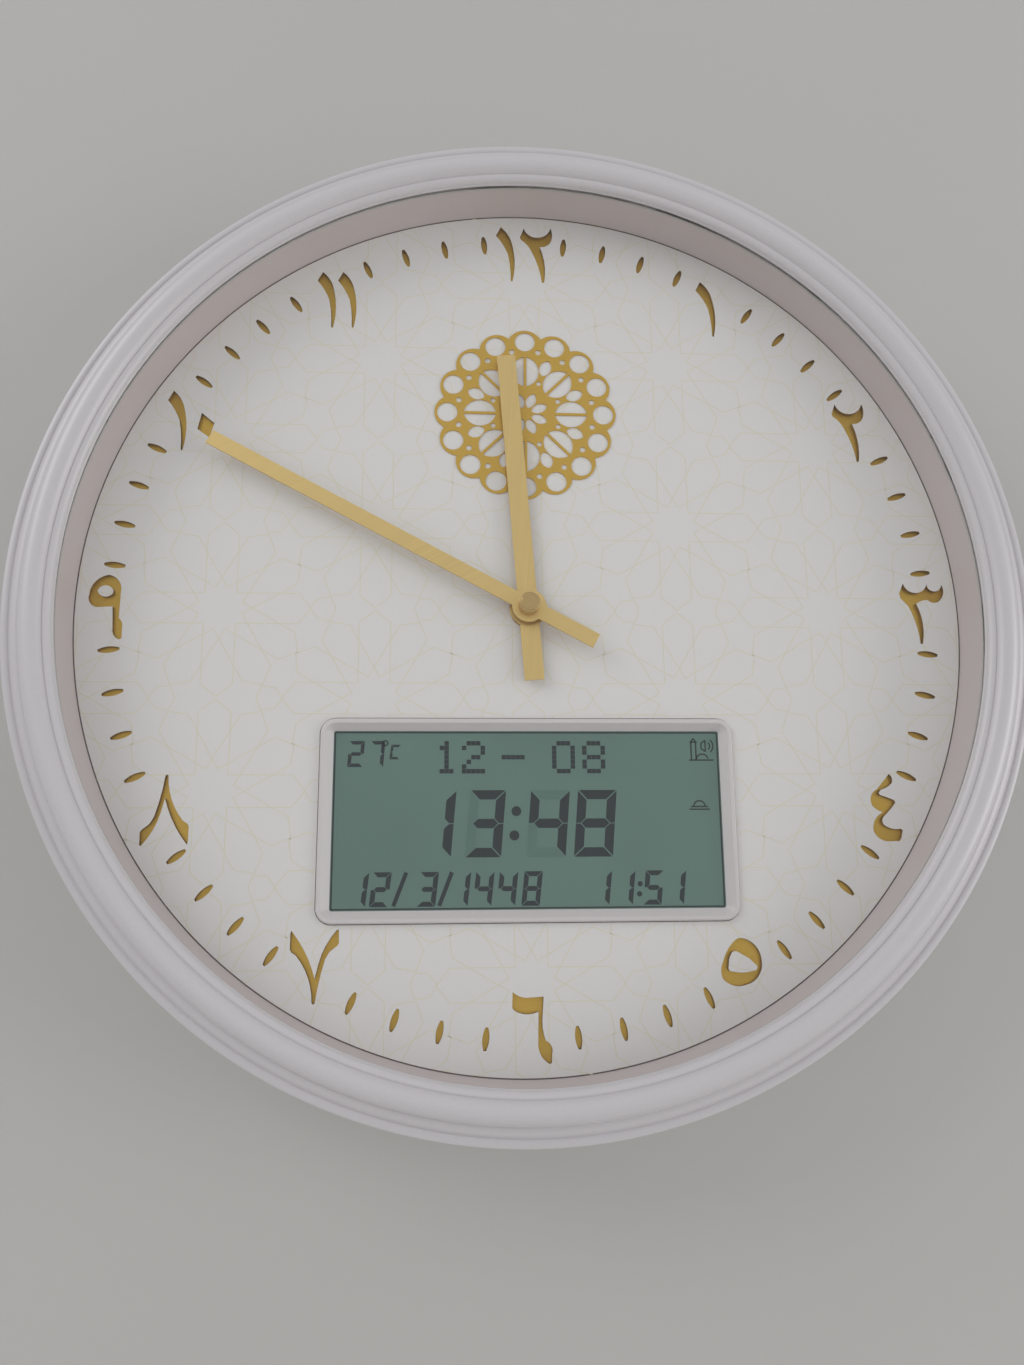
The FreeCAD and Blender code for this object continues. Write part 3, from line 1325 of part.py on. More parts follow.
def hand(y, width, tip, tail, boss_r, bore_r, angle):
    bar = block(-width / 2, width / 2, y, y + HAND_T, -tail, tip)
    shape = bar.fuse(rod(boss_r, y, y + HAND_T)).removeSplitter().cut(rod(bore_r, y - 1, y + 2))
    return turned_round(shape, angle)


def hour_hand():
    return hand(
        HOUR_HAND_Y, HOUR_HAND_W, HOUR_TIP, HOUR_TAIL, HOUR_BOSS_R, HOUR_TUBE_R, HOUR_ANGLE,
    )


def minute_hand():
    return hand(
        MINUTE_HAND_Y, MINUTE_HAND_W, MINUTE_TIP, MINUTE_TAIL, MINUTE_BOSS_R, MINUTE_ARBOR_R,
        MINUTE_ANGLE,
    )


def centre_cap():
    cap = rod(CAP_R, CAP_TOP_Y, MINUTE_HAND_Y)
    rim = [e for e in cap.Edges if abs(e.BoundBox.YMax - CAP_TOP_Y) < 0.01]
    cap = cap.makeFillet(CAP_ROUND, rim)
    return cap.cut(rod(MINUTE_ARBOR_R, MINUTE_HAND_Y - 1.5, MINUTE_HAND_Y + 1))


# Leads between the cells, the speaker and the main board

def lead(points):
    parts = []
    for a, b in zip(points, points[1:]):
        start = V(*a)
        run = V(*b) - start
        parts.append(Part.makeCylinder(LEAD_R, run.Length, start, run))
    parts += [Part.makeSphere(LEAD_R, V(*p)) for p in points[1:-1]]
    return joined(parts)


def inner_leads():
    top_z = WINDOW_Z + BOARD_H / 2
    low_z = -TRAY_HALF_Z - TRAY_WALL
    solder_y = BOARD_BACK_Y
    parts = []
    for k in (0, 1):
        x = BATTERY_X + 12 + LEAD_PITCH * k
        x_end = WINDOW_X - BOARD_W / 2 + 8 + LEAD_PITCH * k
        parts.append(lead([
            (x, -15, low_z), (x, -15, low_z - 5 + k), (x_end, -13, top_z - 4 + k),
            (x_end, solder_y, top_z - 4 + k),
        ]))
        x = SPEAKER_X - 14 + LEAD_PITCH * k
        x_end = WINDOW_X + BOARD_W / 2 - 16 + LEAD_PITCH * k
        parts.append(lead([
            (x, BASKET_END_Y - 1.5, SPEAKER_Z - 12.5 - k), (x, BASKET_END_Y - 4, SPEAKER_Z - 22),
            (x_end, -13, top_z - 4 - k), (x_end, solder_y, top_z - 4 - k),
        ]))
    return Part.makeCompound(parts)


BUILDERS = {
    "front_frame": front_frame,
    "front_glass": front_glass,
    "glass_seal": glass_seal,
    "inner_ring": inner_ring,
    "dial_face": dial_face,
    "dial_gold_sheet": dial_gold_sheet,
    "dial_ornament": dial_ornament,
    "lcd_bezel": lcd_bezel,
    "lcd_panel": lcd_panel,
    "lcd_reflector": lcd_reflector,
    "lcd_connectors": lcd_connectors,
    "main_board": main_board,
    "main_chip": main_chip,
    "board_crystal": board_crystal,
    "board_capacitors": board_capacitors,
    "temperature_sensor": temperature_sensor,
    "board_screws": board_screws,
    "key_switches": key_switches,
    "slide_switch_body": slide_switch_body,
    "slide_switch_knob": slide_switch_knob,
    "rear_cover": rear_cover,
    "battery_door": battery_door,
    "hanger_plate": hanger_plate,
    "hanger_screws": hanger_screws,
    "case_screws": case_screws,
    "dial_screws": dial_screws,
    "batteries": batteries,
    "movement_battery": movement_battery,
    "battery_springs": battery_springs,
    "battery_plates": battery_plates,
    "speaker_frame": speaker_frame,
    "speaker_magnet": speaker_magnet,
    "speaker_cone": speaker_cone,
    "movement_front_case": movement_front_case,
    "movement_rear_case": movement_rear_case,
    "mounting_nut": mounting_nut,
    "dial_washer": dial_washer,
    "rubber_washer": rubber_washer,
    "hour_wheel": hour_wheel,
    "centre_wheel": centre_wheel,
    "motion_wheel": motion_wheel,
    "set_knob": set_knob,
    "third_wheel": third_wheel,
    "fourth_wheel": fourth_wheel,
    "fifth_wheel": fifth_wheel,
    "movement_rotor": movement_rotor,
    "train_bridge": train_bridge,
    "movement_stator": movement_stator,
    "movement_coil": movement_coil,
    "movement_board": movement_board,
    "hour_hand": hour_hand,
    "minute_hand": minute_hand,
    "centre_cap": centre_cap,
    "inner_leads": inner_leads,
}


def save(node, shape):
    print(node, len(shape.Solids), round(shape.Volume, 1), shape.isValid())
    shape.exportStep("parts/" + node + ".step")


os.makedirs("parts", exist_ok=True)
for node_name, build in BUILDERS.items():
    save(node_name, build())
for button_name, button_x in button_places():
    save("button_" + button_name, push_button(button_x))
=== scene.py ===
import json
import math

import bmesh
import bpy
from bpy.props import FloatProperty, FloatVectorProperty, IntProperty, PointerProperty
from mathutils import Matrix, Vector
from mathutils.bvhtree import BVHTree


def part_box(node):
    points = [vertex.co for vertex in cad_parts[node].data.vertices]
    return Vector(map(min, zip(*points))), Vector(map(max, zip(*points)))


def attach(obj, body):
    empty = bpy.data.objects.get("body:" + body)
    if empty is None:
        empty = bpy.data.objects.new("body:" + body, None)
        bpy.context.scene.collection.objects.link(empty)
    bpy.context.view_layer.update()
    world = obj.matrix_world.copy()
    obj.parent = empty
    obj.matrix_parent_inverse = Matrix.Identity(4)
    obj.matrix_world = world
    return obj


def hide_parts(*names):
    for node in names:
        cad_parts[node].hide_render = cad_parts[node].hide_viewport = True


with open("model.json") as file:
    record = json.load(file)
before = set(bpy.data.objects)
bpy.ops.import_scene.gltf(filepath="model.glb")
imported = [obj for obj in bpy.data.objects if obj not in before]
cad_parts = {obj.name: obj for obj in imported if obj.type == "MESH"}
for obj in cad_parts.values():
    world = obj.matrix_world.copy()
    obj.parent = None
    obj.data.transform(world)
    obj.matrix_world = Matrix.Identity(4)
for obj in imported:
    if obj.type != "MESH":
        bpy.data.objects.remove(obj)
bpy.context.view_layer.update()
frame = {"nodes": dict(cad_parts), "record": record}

bl_info = {
    "name": "Round wall clock with a digital display",
    "version": (1, 0, 0),
    "blender": (4, 5, 0),
    "location": "3D View > Sidebar > Wall Clock",
    "description": "Dresses the clock's frame, dial, hands, display and rear, and sets its stage",
    "category": "Object",
}

# The wall is the plane Y = 0, the front faces -Y and the hands turn about X = Z = 0.
# Sizes below are millimetres unless their name says otherwise.
MM = 0.001


def box_mm(node):
    """The lowest and highest corner of a solid, in millimetres."""
    return [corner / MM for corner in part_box(node)]


FRAME_R = box_mm("front_frame")[1].x
DIAL_FRONT_Y = box_mm("dial_face")[0].y
LCD_FRONT_Y = box_mm("lcd_panel")[0].y

# Sections of the turned rings: how far inside the frame's edge and where along Y each point
# lies. Four numbers are an arc's middle and its end.
FRAME_SECTION = [
    (16.60, -46.80), (16.60, -47.35), (16.54, -47.46, 16.44, -47.56),
    (16.00, -48.95, 14.50, -49.80), (14.00, -49.55), (10.40, -51.90, 6.40, -48.20),
    (4.70, -47.90, 3.00, -46.30), (2.70, -46.15), (2.20, -46.50), (0.70, -46.02),
    (0.175, -45.775, 0.00, -45.60), (1.40, -10.00), (3.60, -10.00), (2.20, -43.70),
    (9.30, -43.70), (9.30, -30.00), (11.20, -30.00), (11.20, -44.00), (13.20, -44.00),
    (13.20, -46.80),
]
RING_SECTION = [
    (15.65, -29.00), (15.50, -43.95), (15.44, -44.00), (13.70, -44.00), (13.85, -32.00),
    (11.65, -32.00), (11.65, -29.00),
]
# A thin dark ring laid on the dial at the inner ring's foot: painted shadow for the gap there
GAP_SECTION = [(16.05, -29.03), (15.58, -29.03), (15.58, -29.0), (16.05, -29.0)]
# The cap's section is in radii from the hand axis
CAP_SECTION = [
    (1.6, -37.0), (0.0, -37.0), (0.0, -39.20), (2.6, -39.20), (2.8, -39.38), (3.2, -39.38),
    (3.4, -39.29, 3.5, -39.0), (3.5, -35.6), (3.4, -35.5), (1.6, -35.5),
]
SCREW_RING = FRAME_R - 7.6
SCREWS = 8
BOSS_R = 3.4
BOSS_HOLE_R = 1.5
BOSS_FRONT_Y = -43.8
BOSS_END_Y = -11.5
DIAL_SEEN_R = FRAME_R - 15.8
FIGURE_PROUD = 0.05

# Steps in each arc of a section, and segments round the small turned pieces
FRAME_STEPS = 14
CAP_STEPS = 5
SMALL_STEPS = 4
CAP_SEGMENTS = 96
CELL_SEGMENTS = 48
# The frame's lacquer fills its grooves, so creases up to this angle are shaded round
FRAME_CREASE_DEG = 60.0

# Where each hand points at rest, in degrees clockwise from twelve
HAND_ANGLES = {"hour_hand": 355.7, "minute_hand": 298.4}

# The stage, in metres: lamps by place, width and watts, and the camera that took the picture
LAMPS = {
    "window_lamp": ((-1.5, -1.1, 1.1), 1.3, 11.0),
    "room_lamp": ((1.75, -0.8, -0.1), 1.1, 9.0),
    "rear_lamp_left": ((-0.9, 1.3, 0.9), 1.1, 9.0),
    "rear_lamp_right": ((1.1, 1.3, 0.3), 1.1, 6.0),
}
WALL_WIDTH = 3.0
WALL_GAP = 0.0008
FLOOR_WIDTH = 4.0
FLOOR_Z = -1.1
CAMERA_PLACE = (-0.0244, -0.3455, -0.0880)
CAMERA_TURN = (0.1968, 0.0018, -0.0588)
LENS_MM = 25.68
SENSOR_MM = 36.0


# Colour and node helpers

def to_linear(text):
    """A colour written as sRGB hex, in Blender's linear values."""
    parts = [int(text[k:k + 2], 16) / 255 for k in (1, 3, 5)]
    return [c / 12.92 if c <= 0.04045 else ((c + 0.055) / 1.055) ** 2.4 for c in parts] + [1.0]


def shade(colour, factor):
    return [min(1.0, c * factor) for c in colour[:3]] + [1.0]


def add_node(tree, kind, settings=None, links=None):
    """One node with its settings, by name or socket number, and what feeds its sockets."""
    made = tree.nodes.new(kind)
    for name, value in (settings or {}).items():
        if isinstance(name, str) and hasattr(made, name):
            setattr(made, name, value)
        else:
            made.inputs[name].default_value = value
    for name, source in (links or {}).items():
        tree.links.new(source, made.inputs[name])
    return made


def empty_material(name):
    made = bpy.data.materials.new(name)
    made.use_nodes = True
    made.node_tree.nodes.clear()
    return made


def grain(tree, size_mm, stretch=(1.0, 1.0, 1.0), turn=(0.0, 0.0, 0.0), detail=4.0):
    """Noise whose grain has a real size, drawn out along an axis where stretch is below one."""
    place = add_node(tree, "ShaderNodeTexCoord")
    turned = add_node(
        tree, "ShaderNodeMapping", {"Rotation": turn}, {"Vector": place.outputs["Object"]},
    )
    drawn = add_node(
        tree, "ShaderNodeMapping", {"Scale": stretch}, {"Vector": turned.outputs["Vector"]},
    )
    return add_node(
        tree, "ShaderNodeTexNoise", {"Scale": 1 / (size_mm * MM), "Detail": detail},
        {"Vector": drawn.outputs["Vector"]},
    ).outputs["Fac"]


def spread(tree, factor, low, high):
    """The middle of a noise pattern laid out between two values."""
    return add_node(
        tree, "ShaderNodeMapRange",
        {"From Min": 0.3, "From Max": 0.7, "To Min": low, "To Max": high},
        {"Value": factor},
    ).outputs["Result"]


def two_tones(tree, factor, first, second, low=0.35, high=0.65):
    made = add_node(tree, "ShaderNodeValToRGB", links={"Fac": factor})
    made.color_ramp.elements[0].position = low
    made.color_ramp.elements[0].color = first
    made.color_ramp.elements[1].position = high
    made.color_ramp.elements[1].color = second
    return made.outputs["Color"]


def surface(name, colour, roughness, grain_mm, metallic=0.0, tone=0.04, rough_spread=0.06,
            bump_mm=0.01, stretch=(1.0, 1.0, 1.0), turn=(0.0, 0.0, 0.0), sockets=None):
    """A surface whose colour, roughness and height all vary over one grain of a real size."""
    made = empty_material(name)
    tree = made.node_tree
    noise = grain(tree, grain_mm, stretch, turn)
    base = two_tones(tree, noise, shade(colour, 1 - tone), shade(colour, 1 + tone))
    bump = add_node(
        tree, "ShaderNodeBump", {"Strength": 0.6, "Distance": bump_mm * MM}, {"Height": noise},
    )
    shader = add_node(
        tree, "ShaderNodeBsdfPrincipled", {"Metallic": metallic, **(sockets or {})},
        {
            "Base Color": base,
            "Roughness": spread(tree, noise, roughness - rough_spread, roughness + rough_spread),
            "Normal": bump.outputs["Normal"],
        },
    )
    add_node(tree, "ShaderNodeOutputMaterial", links={"Surface": shader.outputs["BSDF"]})
    return made


# Materials with more to them than one grain

def pearl_lacquer_on_abs(name, colour):
    """Moulded ABS sprayed with a mica lacquer: a milky body, a soft glow and a clear skin."""
    return surface(
        name, colour, roughness=0.48, grain_mm=0.8, metallic=0.05, tone=0.012,
        rough_spread=0.03, bump_mm=0.002,
        sockets={
            "Coat Weight": 0.4, "Coat Roughness": 0.24, "Sheen Weight": 0.10,
            "Sheen Roughness": 0.4, "Sheen Tint": to_linear("#E6D8E4"),
        },
    )


def float_glass():
    """Flat polished glass: it shows the dial as it is and adds only its reflection."""
    made = empty_material("Float_glass")
    tree = made.node_tree
    wave = grain(tree, 90.0, detail=1.0)
    bump = add_node(
        tree, "ShaderNodeBump", {"Strength": 0.05, "Distance": 0.05 * MM}, {"Height": wave},
    )
    fresnel = add_node(tree, "ShaderNodeFresnel", {"IOR": 1.5}, {"Normal": bump.outputs["Normal"]})
    side = add_node(tree, "ShaderNodeNewGeometry")
    outside = add_node(
        tree, "ShaderNodeMath", {"operation": "SUBTRACT", 0: 1.0}, {1: side.outputs["Backfacing"]},
    )
    half = add_node(
        tree, "ShaderNodeMath", {"operation": "MULTIPLY"},
        {0: fresnel.outputs["Fac"], 1: outside.outputs["Value"]},
    )
    through = add_node(tree, "ShaderNodeBsdfTransparent", {"Color": to_linear("#FEFFFE")})
    gloss = add_node(
        tree, "ShaderNodeBsdfGlossy", {"Roughness": 0.03}, {"Normal": bump.outputs["Normal"]},
    )
    both = add_node(
        tree, "ShaderNodeMixShader", links={
            0: half.outputs["Value"], 1: through.outputs["BSDF"], 2: gloss.outputs["BSDF"],
        },
    )
    add_node(tree, "ShaderNodeOutputMaterial", links={"Surface": both.outputs["Shader"]})
    return made


def painted_board_with_cut_edges(colour, edge_shade_colour):
    """Satin white paint over board, cut by laser: the cut edges are coloured a dark gold brown,
    painted shade for the shadowed walls of the cut figures.
    """
    made = empty_material("Painted_board_with_laser_cut_edges")
    tree = made.node_tree
    noise = grain(tree, 1.2)
    face = two_tones(tree, noise, shade(colour, 0.988), shade(colour, 1.008))
    # Painted shade: the walls of the cut figures take a dark gold brown for the shadow that falls in
    # them
    edge = two_tones(tree, grain(tree, 0.5), shade(edge_shade_colour, 0.8), shade(edge_shade_colour, 1.2))
    place = add_node(tree, "ShaderNodeTexCoord")
    split = add_node(tree, "ShaderNodeSeparateXYZ", links={"Vector": place.outputs["Normal"]})
    flat = add_node(tree, "ShaderNodeMath", {"operation": "ABSOLUTE"}, {0: split.outputs["Y"]})
    facing = add_node(
        tree, "ShaderNodeMath", {"operation": "GREATER_THAN", 1: 0.5}, {0: flat.outputs["Value"]},
    )
    base = add_node(
        tree, "ShaderNodeMix", {"data_type": "RGBA"},
        {0: facing.outputs["Value"], 6: edge, 7: face},
    )
    bump = add_node(
        tree, "ShaderNodeBump", {"Strength": 0.3, "Distance": 0.004 * MM}, {"Height": noise},
    )
    shader = add_node(
        tree, "ShaderNodeBsdfPrincipled", {"Coat Weight": 0.15, "Coat Roughness": 0.3},
        {
            "Base Color": base.outputs[2], "Roughness": spread(tree, noise, 0.5, 0.58),
            "Normal": bump.outputs["Normal"],
        },
    )
    add_node(tree, "ShaderNodeOutputMaterial", links={"Surface": shader.outputs["BSDF"]})
    return made


def brushed_gold_plate(name, colour, angle):
    """Plated aluminium brushed along the hand: fine streaks that run its whole length."""
    return surface(
        name, colour, roughness=0.38, grain_mm=0.16, metallic=0.8, tone=0.06,
        rough_spread=0.06, bump_mm=0.003, stretch=(1.0, 1.0, 0.004),
        turn=(0.0, math.radians(angle), 0.0),
        sockets={"Anisotropic": 0.4},
    )


def turned_brass(colour):
    """Brass faced on a lathe: rings about the arbor, drawn coarser than real so that they show."""
    ring_mm = 0.63
    waves_per_unit = 20
    made = empty_material("Turned_brass")
    tree = made.node_tree
    place = add_node(tree, "ShaderNodeTexCoord")
    rings = add_node(
        tree, "ShaderNodeTexWave",
        {"wave_type": "RINGS", "rings_direction": "Y", "Distortion": 0.4,
         "Scale": math.tau / (waves_per_unit * ring_mm * MM),
         "Detail": 2.0, "Detail Scale": 3.0},
        {"Vector": place.outputs["Object"]},
    )
    base = two_tones(tree, rings.outputs["Fac"], shade(colour, 0.78), shade(colour, 1.1), 0.0, 1.0)
    bump = add_node(
        tree, "ShaderNodeBump", {"Strength": 0.5, "Distance": 0.01 * MM},
        {"Height": rings.outputs["Fac"]},
    )
    shader = add_node(
        tree, "ShaderNodeBsdfPrincipled", {"Metallic": 0.9},
        {
            "Base Color": base, "Roughness": spread(tree, rings.outputs["Fac"], 0.3, 0.42),
            "Normal": bump.outputs["Normal"],
        },
    )
    add_node(tree, "ShaderNodeOutputMaterial", links={"Surface": shader.outputs["BSDF"]})
    return made


def polariser_over_liquid_crystal(colour):
    """Film over liquid crystal and a grey-green reflector: even and soft, faintly cloudy."""
    made = empty_material("Polariser_film_over_liquid_crystal")
    tree = made.node_tree
    noise = grain(tree, 40.0, detail=2.0)
    base = two_tones(tree, noise, shade(colour, 0.96), shade(colour, 1.05))
    shader = add_node(
        tree, "ShaderNodeBsdfPrincipled", {"Coat Weight": 0.4, "Coat Roughness": 0.15},
        {"Base Color": base, "Roughness": spread(tree, grain(tree, 0.6), 0.42, 0.5)},
    )
    add_node(tree, "ShaderNodeOutputMaterial", links={"Surface": shader.outputs["BSDF"]})
    return made


def cell_jacket(colour, band_colour):
    """Printed foil shrunk round the cell: a plain dark body with a copper shoulder."""
    shoulder_mm = 14.0
    half = (TRAY_HIGH.x - TRAY_LOW.x) / 2
    middle = (TRAY_HIGH.x + TRAY_LOW.x) / 2
    made = empty_material("Printed_foil_cell_jacket")
    tree = made.node_tree
    place = add_node(tree, "ShaderNodeTexCoord")
    split = add_node(tree, "ShaderNodeSeparateXYZ", links={"Vector": place.outputs["Object"]})
    wobble = grain(tree, 0.3)
    band = add_node(
        tree, "ShaderNodeMath", {"operation": "PINGPONG", 1: half * MM},
        {0: add_node(
            tree, "ShaderNodeMath", {"operation": "SUBTRACT", 1: middle * MM}, {0: split.outputs["X"]},
        ).outputs["Value"]},
    )
    edge = add_node(
        tree, "ShaderNodeMath", {"operation": "GREATER_THAN", 1: shoulder_mm * MM},
        {0: band.outputs["Value"]},
    )
    base = add_node(
        tree, "ShaderNodeMix", {"data_type": "RGBA"},
        {
            0: edge.outputs["Value"],
            6: two_tones(tree, wobble, shade(colour, 0.9), shade(colour, 1.1)),
            7: two_tones(tree, wobble, shade(band_colour, 0.94), shade(band_colour, 1.06)),
        },
    )
    shader = add_node(
        tree, "ShaderNodeBsdfPrincipled", {"Metallic": 0.4, "Coat Weight": 0.5},
        {"Base Color": base.outputs[2], "Roughness": spread(tree, wobble, 0.26, 0.34)},
    )
    add_node(tree, "ShaderNodeOutputMaterial", links={"Surface": shader.outputs["BSDF"]})
    return made


def soldermask_board(colour):
    """Green lacquer over copper tracks on glass-fibre board: paler lines under a clear skin."""
    track_mm = 14.0
    made = empty_material("Soldermask_on_glass_fibre_board")
    tree = made.node_tree
    place = add_node(tree, "ShaderNodeTexCoord")
    tracks = add_node(
        tree, "ShaderNodeTexBrick",
        {"Scale": 1 / (track_mm * MM), "Mortar Size": 0.05, "Color1": shade(colour, 0.92),
         "Color2": shade(colour, 1.0), "Mortar": shade(colour, 1.6)},
        {"Vector": add_node(
            tree, "ShaderNodeMapping", {"Rotation": (math.radians(90), 0.0, 0.0)},
            {"Vector": place.outputs["Object"]},
        ).outputs["Vector"]},
    )
    shader = add_node(
        tree, "ShaderNodeBsdfPrincipled", {"Coat Weight": 0.4},
        {
            "Base Color": tracks.outputs["Color"],
            "Roughness": spread(tree, grain(tree, 0.8), 0.3, 0.4),
        },
    )
    add_node(tree, "ShaderNodeOutputMaterial", links={"Surface": shader.outputs["BSDF"]})
    return made


# Finishes of one grain: material slot, common name and how it was made, colour, roughness,
# grain in millimetres, metallic, tone, bump in millimetres
PLAIN_FINISHES = {
    # An even satin wall that takes a soft shade from the lip above it
    "ring_plastic": ("Satin_moulded_polystyrene", "#C8BCBC", 0.46, 0.9, 0.0, 0.012, 0.004),
    # Dull, finely pitted foam
    "seal_foam": ("Closed_cell_foam", "#B9B4B3", 0.85, 0.5, 0.0, 0.06, 0.05),
    # A warm yellow shine that dulls in the shade of a cut figure
    "gold_sheet": ("Gold_foil_laminate", "#CFA74B", 0.38, 0.6, 0.75, 0.05, 0.004),
    # A soft silver behind the liquid crystal
    "lcd_reflector": ("Brushed_reflector_film", "#A9ADA8", 0.4, 0.4, 0.8, 0.05, 0.004),
    # Dark brown rubber with a fine strong mottle
    "zebra_rubber": ("Carbon_striped_silicone", "#5A4A44", 0.7, 0.2, 0.0, 0.3, 0.01),
    # A black glossy blob with slow waves
    "epoxy": ("Potted_epoxy", "#131416", 0.3, 2.0, 0.0, 0.1, 0.02),
    # Bright, faintly mottled metal
    "can_steel": ("Tinned_can_steel", "#B9BCC0", 0.3, 0.5, 0.95, 0.04, 0.004),
    # A small glossy teal bead
    "sensor_bead": ("Glass_coated_bead", "#2A6E6A", 0.25, 0.6, 0.0, 0.1, 0.01),
    # Pale plating, faintly uneven
    "screw_steel": ("Zinc_plated_steel", "#B4B6BA", 0.32, 0.4, 0.95, 0.06, 0.006),
    # Near-black plastic, just off flat
    "black_plastic": ("Moulded_black_ABS", "#1E1F21", 0.5, 0.6, 0.0, 0.1, 0.015),
    # Middle grey plastic, just off flat
    "grey_plastic": ("Moulded_grey_ABS", "#8E9092", 0.5, 0.6, 0.0, 0.04, 0.015),
    # A pebbled off-white with no shine
    "cover_plastic": ("Spark_textured_moulded_ABS", "#D6D4D2", 0.58, 0.7, 0.0, 0.03, 0.035),
    # Matt slate grey with a coarse grain
    "magnet": ("Sintered_ferrite", "#3C3D40", 0.7, 0.5, 0.1, 0.12, 0.03),
    # Fibrous dark card
    "cone_paper": ("Pressed_paper_pulp", "#2B2A29", 0.85, 0.6, 0.0, 0.18, 0.05),
    # Creamy, slightly waxy gears
    "wheel_plastic": ("Moulded_acetal", "#E6E2D4", 0.45, 0.8, 0.0, 0.03, 0.005),
    # Yellow metal, faintly mottled
    "wheel_brass": ("Stamped_brass", "#C8A552", 0.34, 0.5, 0.95, 0.06, 0.006),
    # Reddish lacquered wire with a close uneven grain
    "copper": ("Wound_enamelled_copper", "#A8562B", 0.34, 0.25, 0.85, 0.2, 0.03),
    # Smooth deep red sleeve
    "lead_sleeve": ("Extruded_lead_sleeve", "#8A2A26", 0.45, 0.6, 0.0, 0.06, 0.006),
}


def all_finishes(colours):
    made = {
        slot: surface(name, to_linear(text), rough, size, metal, tone, bump_mm=bump)
        for slot, (name, text, rough, size, metal, tone, bump) in PLAIN_FINISHES.items()
    }
    made["pearl_plastic"] = pearl_lacquer_on_abs("Pearl_lacquer_on_moulded_ABS", colours.frame)
    made["glass"] = float_glass()
    made["dial_white"] = painted_board_with_cut_edges(colours.dial, colours.cut_edge_shade)
    made["gold_hand"] = brushed_gold_plate("Brushed_gold_plate_flat", colours.hands, 0.0)
    made["cap_brass"] = turned_brass(colours.cap)
    made["lcd_glass"] = polariser_over_liquid_crystal(colours.display)
    made["board"] = soldermask_board(to_linear("#1C5436"))
    made["cell_jacket"] = cell_jacket(to_linear("#23262B"), to_linear("#B87A45"))
    return made


FINISHES = {}


# Mesh helpers

def arc_through(start, middle, end, count):
    """Points from start to end on the circle through all three."""
    (ax, ay), (bx, by), (cx, cy) = start, middle, end
    d = 2 * (ax * (by - cy) + bx * (cy - ay) + cx * (ay - by))
    a2, b2, c2 = ax * ax + ay * ay, bx * bx + by * by, cx * cx + cy * cy
    ox = (a2 * (by - cy) + b2 * (cy - ay) + c2 * (ay - by)) / d
    oy = (a2 * (cx - bx) + b2 * (ax - cx) + c2 * (bx - ax)) / d
    radius = math.hypot(ax - ox, ay - oy)
    angles = [math.atan2(y - oy, x - ox) for x, y in (start, middle, end)]
    forward = (angles[1] - angles[0]) % math.tau < (angles[2] - angles[0]) % math.tau
    sweep = (angles[2] - angles[0]) % math.tau - (0.0 if forward else math.tau)
    for k in range(1, count + 1):
        angle = angles[0] + sweep * k / count
        yield ox + radius * math.cos(angle), oy + radius * math.sin(angle)


def drawn_out(section, count):
    """A section's points with its arcs, written as four numbers, drawn out in short steps."""
    points = [section[0]]
    for step in section[1:]:
        if len(step) == 4:
            points += arc_through(points[-1], step[:2], step[2:], count)
        else:
            points.append(step)
    return points


def inside_frame(section):
    """A section whose distances inside the frame's edge are turned into radii."""
    return [
        tuple(FRAME_R - v if k % 2 == 0 else v for k, v in enumerate(step)) for step in section
    ]


def add_turned(mesh, points, segments):
    """Turns a closed section of (radius, y) about the hand axis."""
    rings = []
    for radius, y in points:
        if radius < 1e-6:
            rings.append([mesh.verts.new((0.0, y * MM, 0.0))] * segments)
            continue
        ring = []
        for k in range(segments):
            angle = math.tau * k / segments
            ring.append(mesh.verts.new(
                (radius * MM * math.sin(angle), y * MM, radius * MM * math.cos(angle))
            ))
        rings.append(ring)
    for first, second in zip(rings, rings[1:] + rings[:1]):
        for k in range(segments):
            n = (k + 1) % segments
            corners = []
            for v in (first[k], first[n], second[n], second[k]):
                if v not in corners:
                    corners.append(v)
            if len(corners) > 2:
                mesh.faces.new(corners)


def add_tube(mesh, outer, inner, y0, y1, x, z, segments=32):
    start = len(mesh.verts)
    add_turned(mesh, [(outer, y0), (outer, y1), (inner, y1), (inner, y0)], segments)
    mesh.verts.ensure_lookup_table()
    for k in range(start, len(mesh.verts)):
        mesh.verts[k].co += Vector((x * MM, 0.0, z * MM))


def add_plate(mesh, outline, y_front, y_back):
    """A thin closed plate with an outline of (x, z) points."""
    front = [mesh.verts.new((x * MM, y_front * MM, z * MM)) for x, z in outline]
    back = [mesh.verts.new((x * MM, y_back * MM, z * MM)) for x, z in outline]
    mesh.faces.new(front)
    mesh.faces.new(back[::-1])
    for k, (a, b) in enumerate(zip(front, back)):
        n = (k + 1) % len(front)
        mesh.faces.new((a, b, back[n], front[n]))


def finish_piece(mesh, name, material, body, replaced=(), smooth_deg=35.0):
    """Turns the mesh into a piece that rides on a body and takes one finish."""
    bmesh.ops.recalc_face_normals(mesh, faces=mesh.faces)
    data = bpy.data.meshes.new(name)
    mesh.to_mesh(data)
    mesh.free()
    data.materials.append(material)
    if smooth_deg:
        data.shade_smooth()
        data.set_sharp_from_angle(angle=math.radians(smooth_deg))
    piece = bpy.data.objects.new(name, data)
    bpy.context.scene.collection.objects.link(piece)
    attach(piece, body)
    if replaced:
        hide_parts(*replaced)
    return piece


# Star pattern printed on the dial. Its strokes are followed in short steps, and rays shot from
# just in front of the dial keep those over paint. Strokes of unlike heading lie on levels of
# their own, so no two share a plane where they cross.
RUN_STEP = 0.5
PROBE_GAP = 0.3
PROBE_REACH = 0.5
LEVEL_DEG = 7
LEVEL_STEP = 0.0008
PETALS = 12
GAP_CORNERS = 6


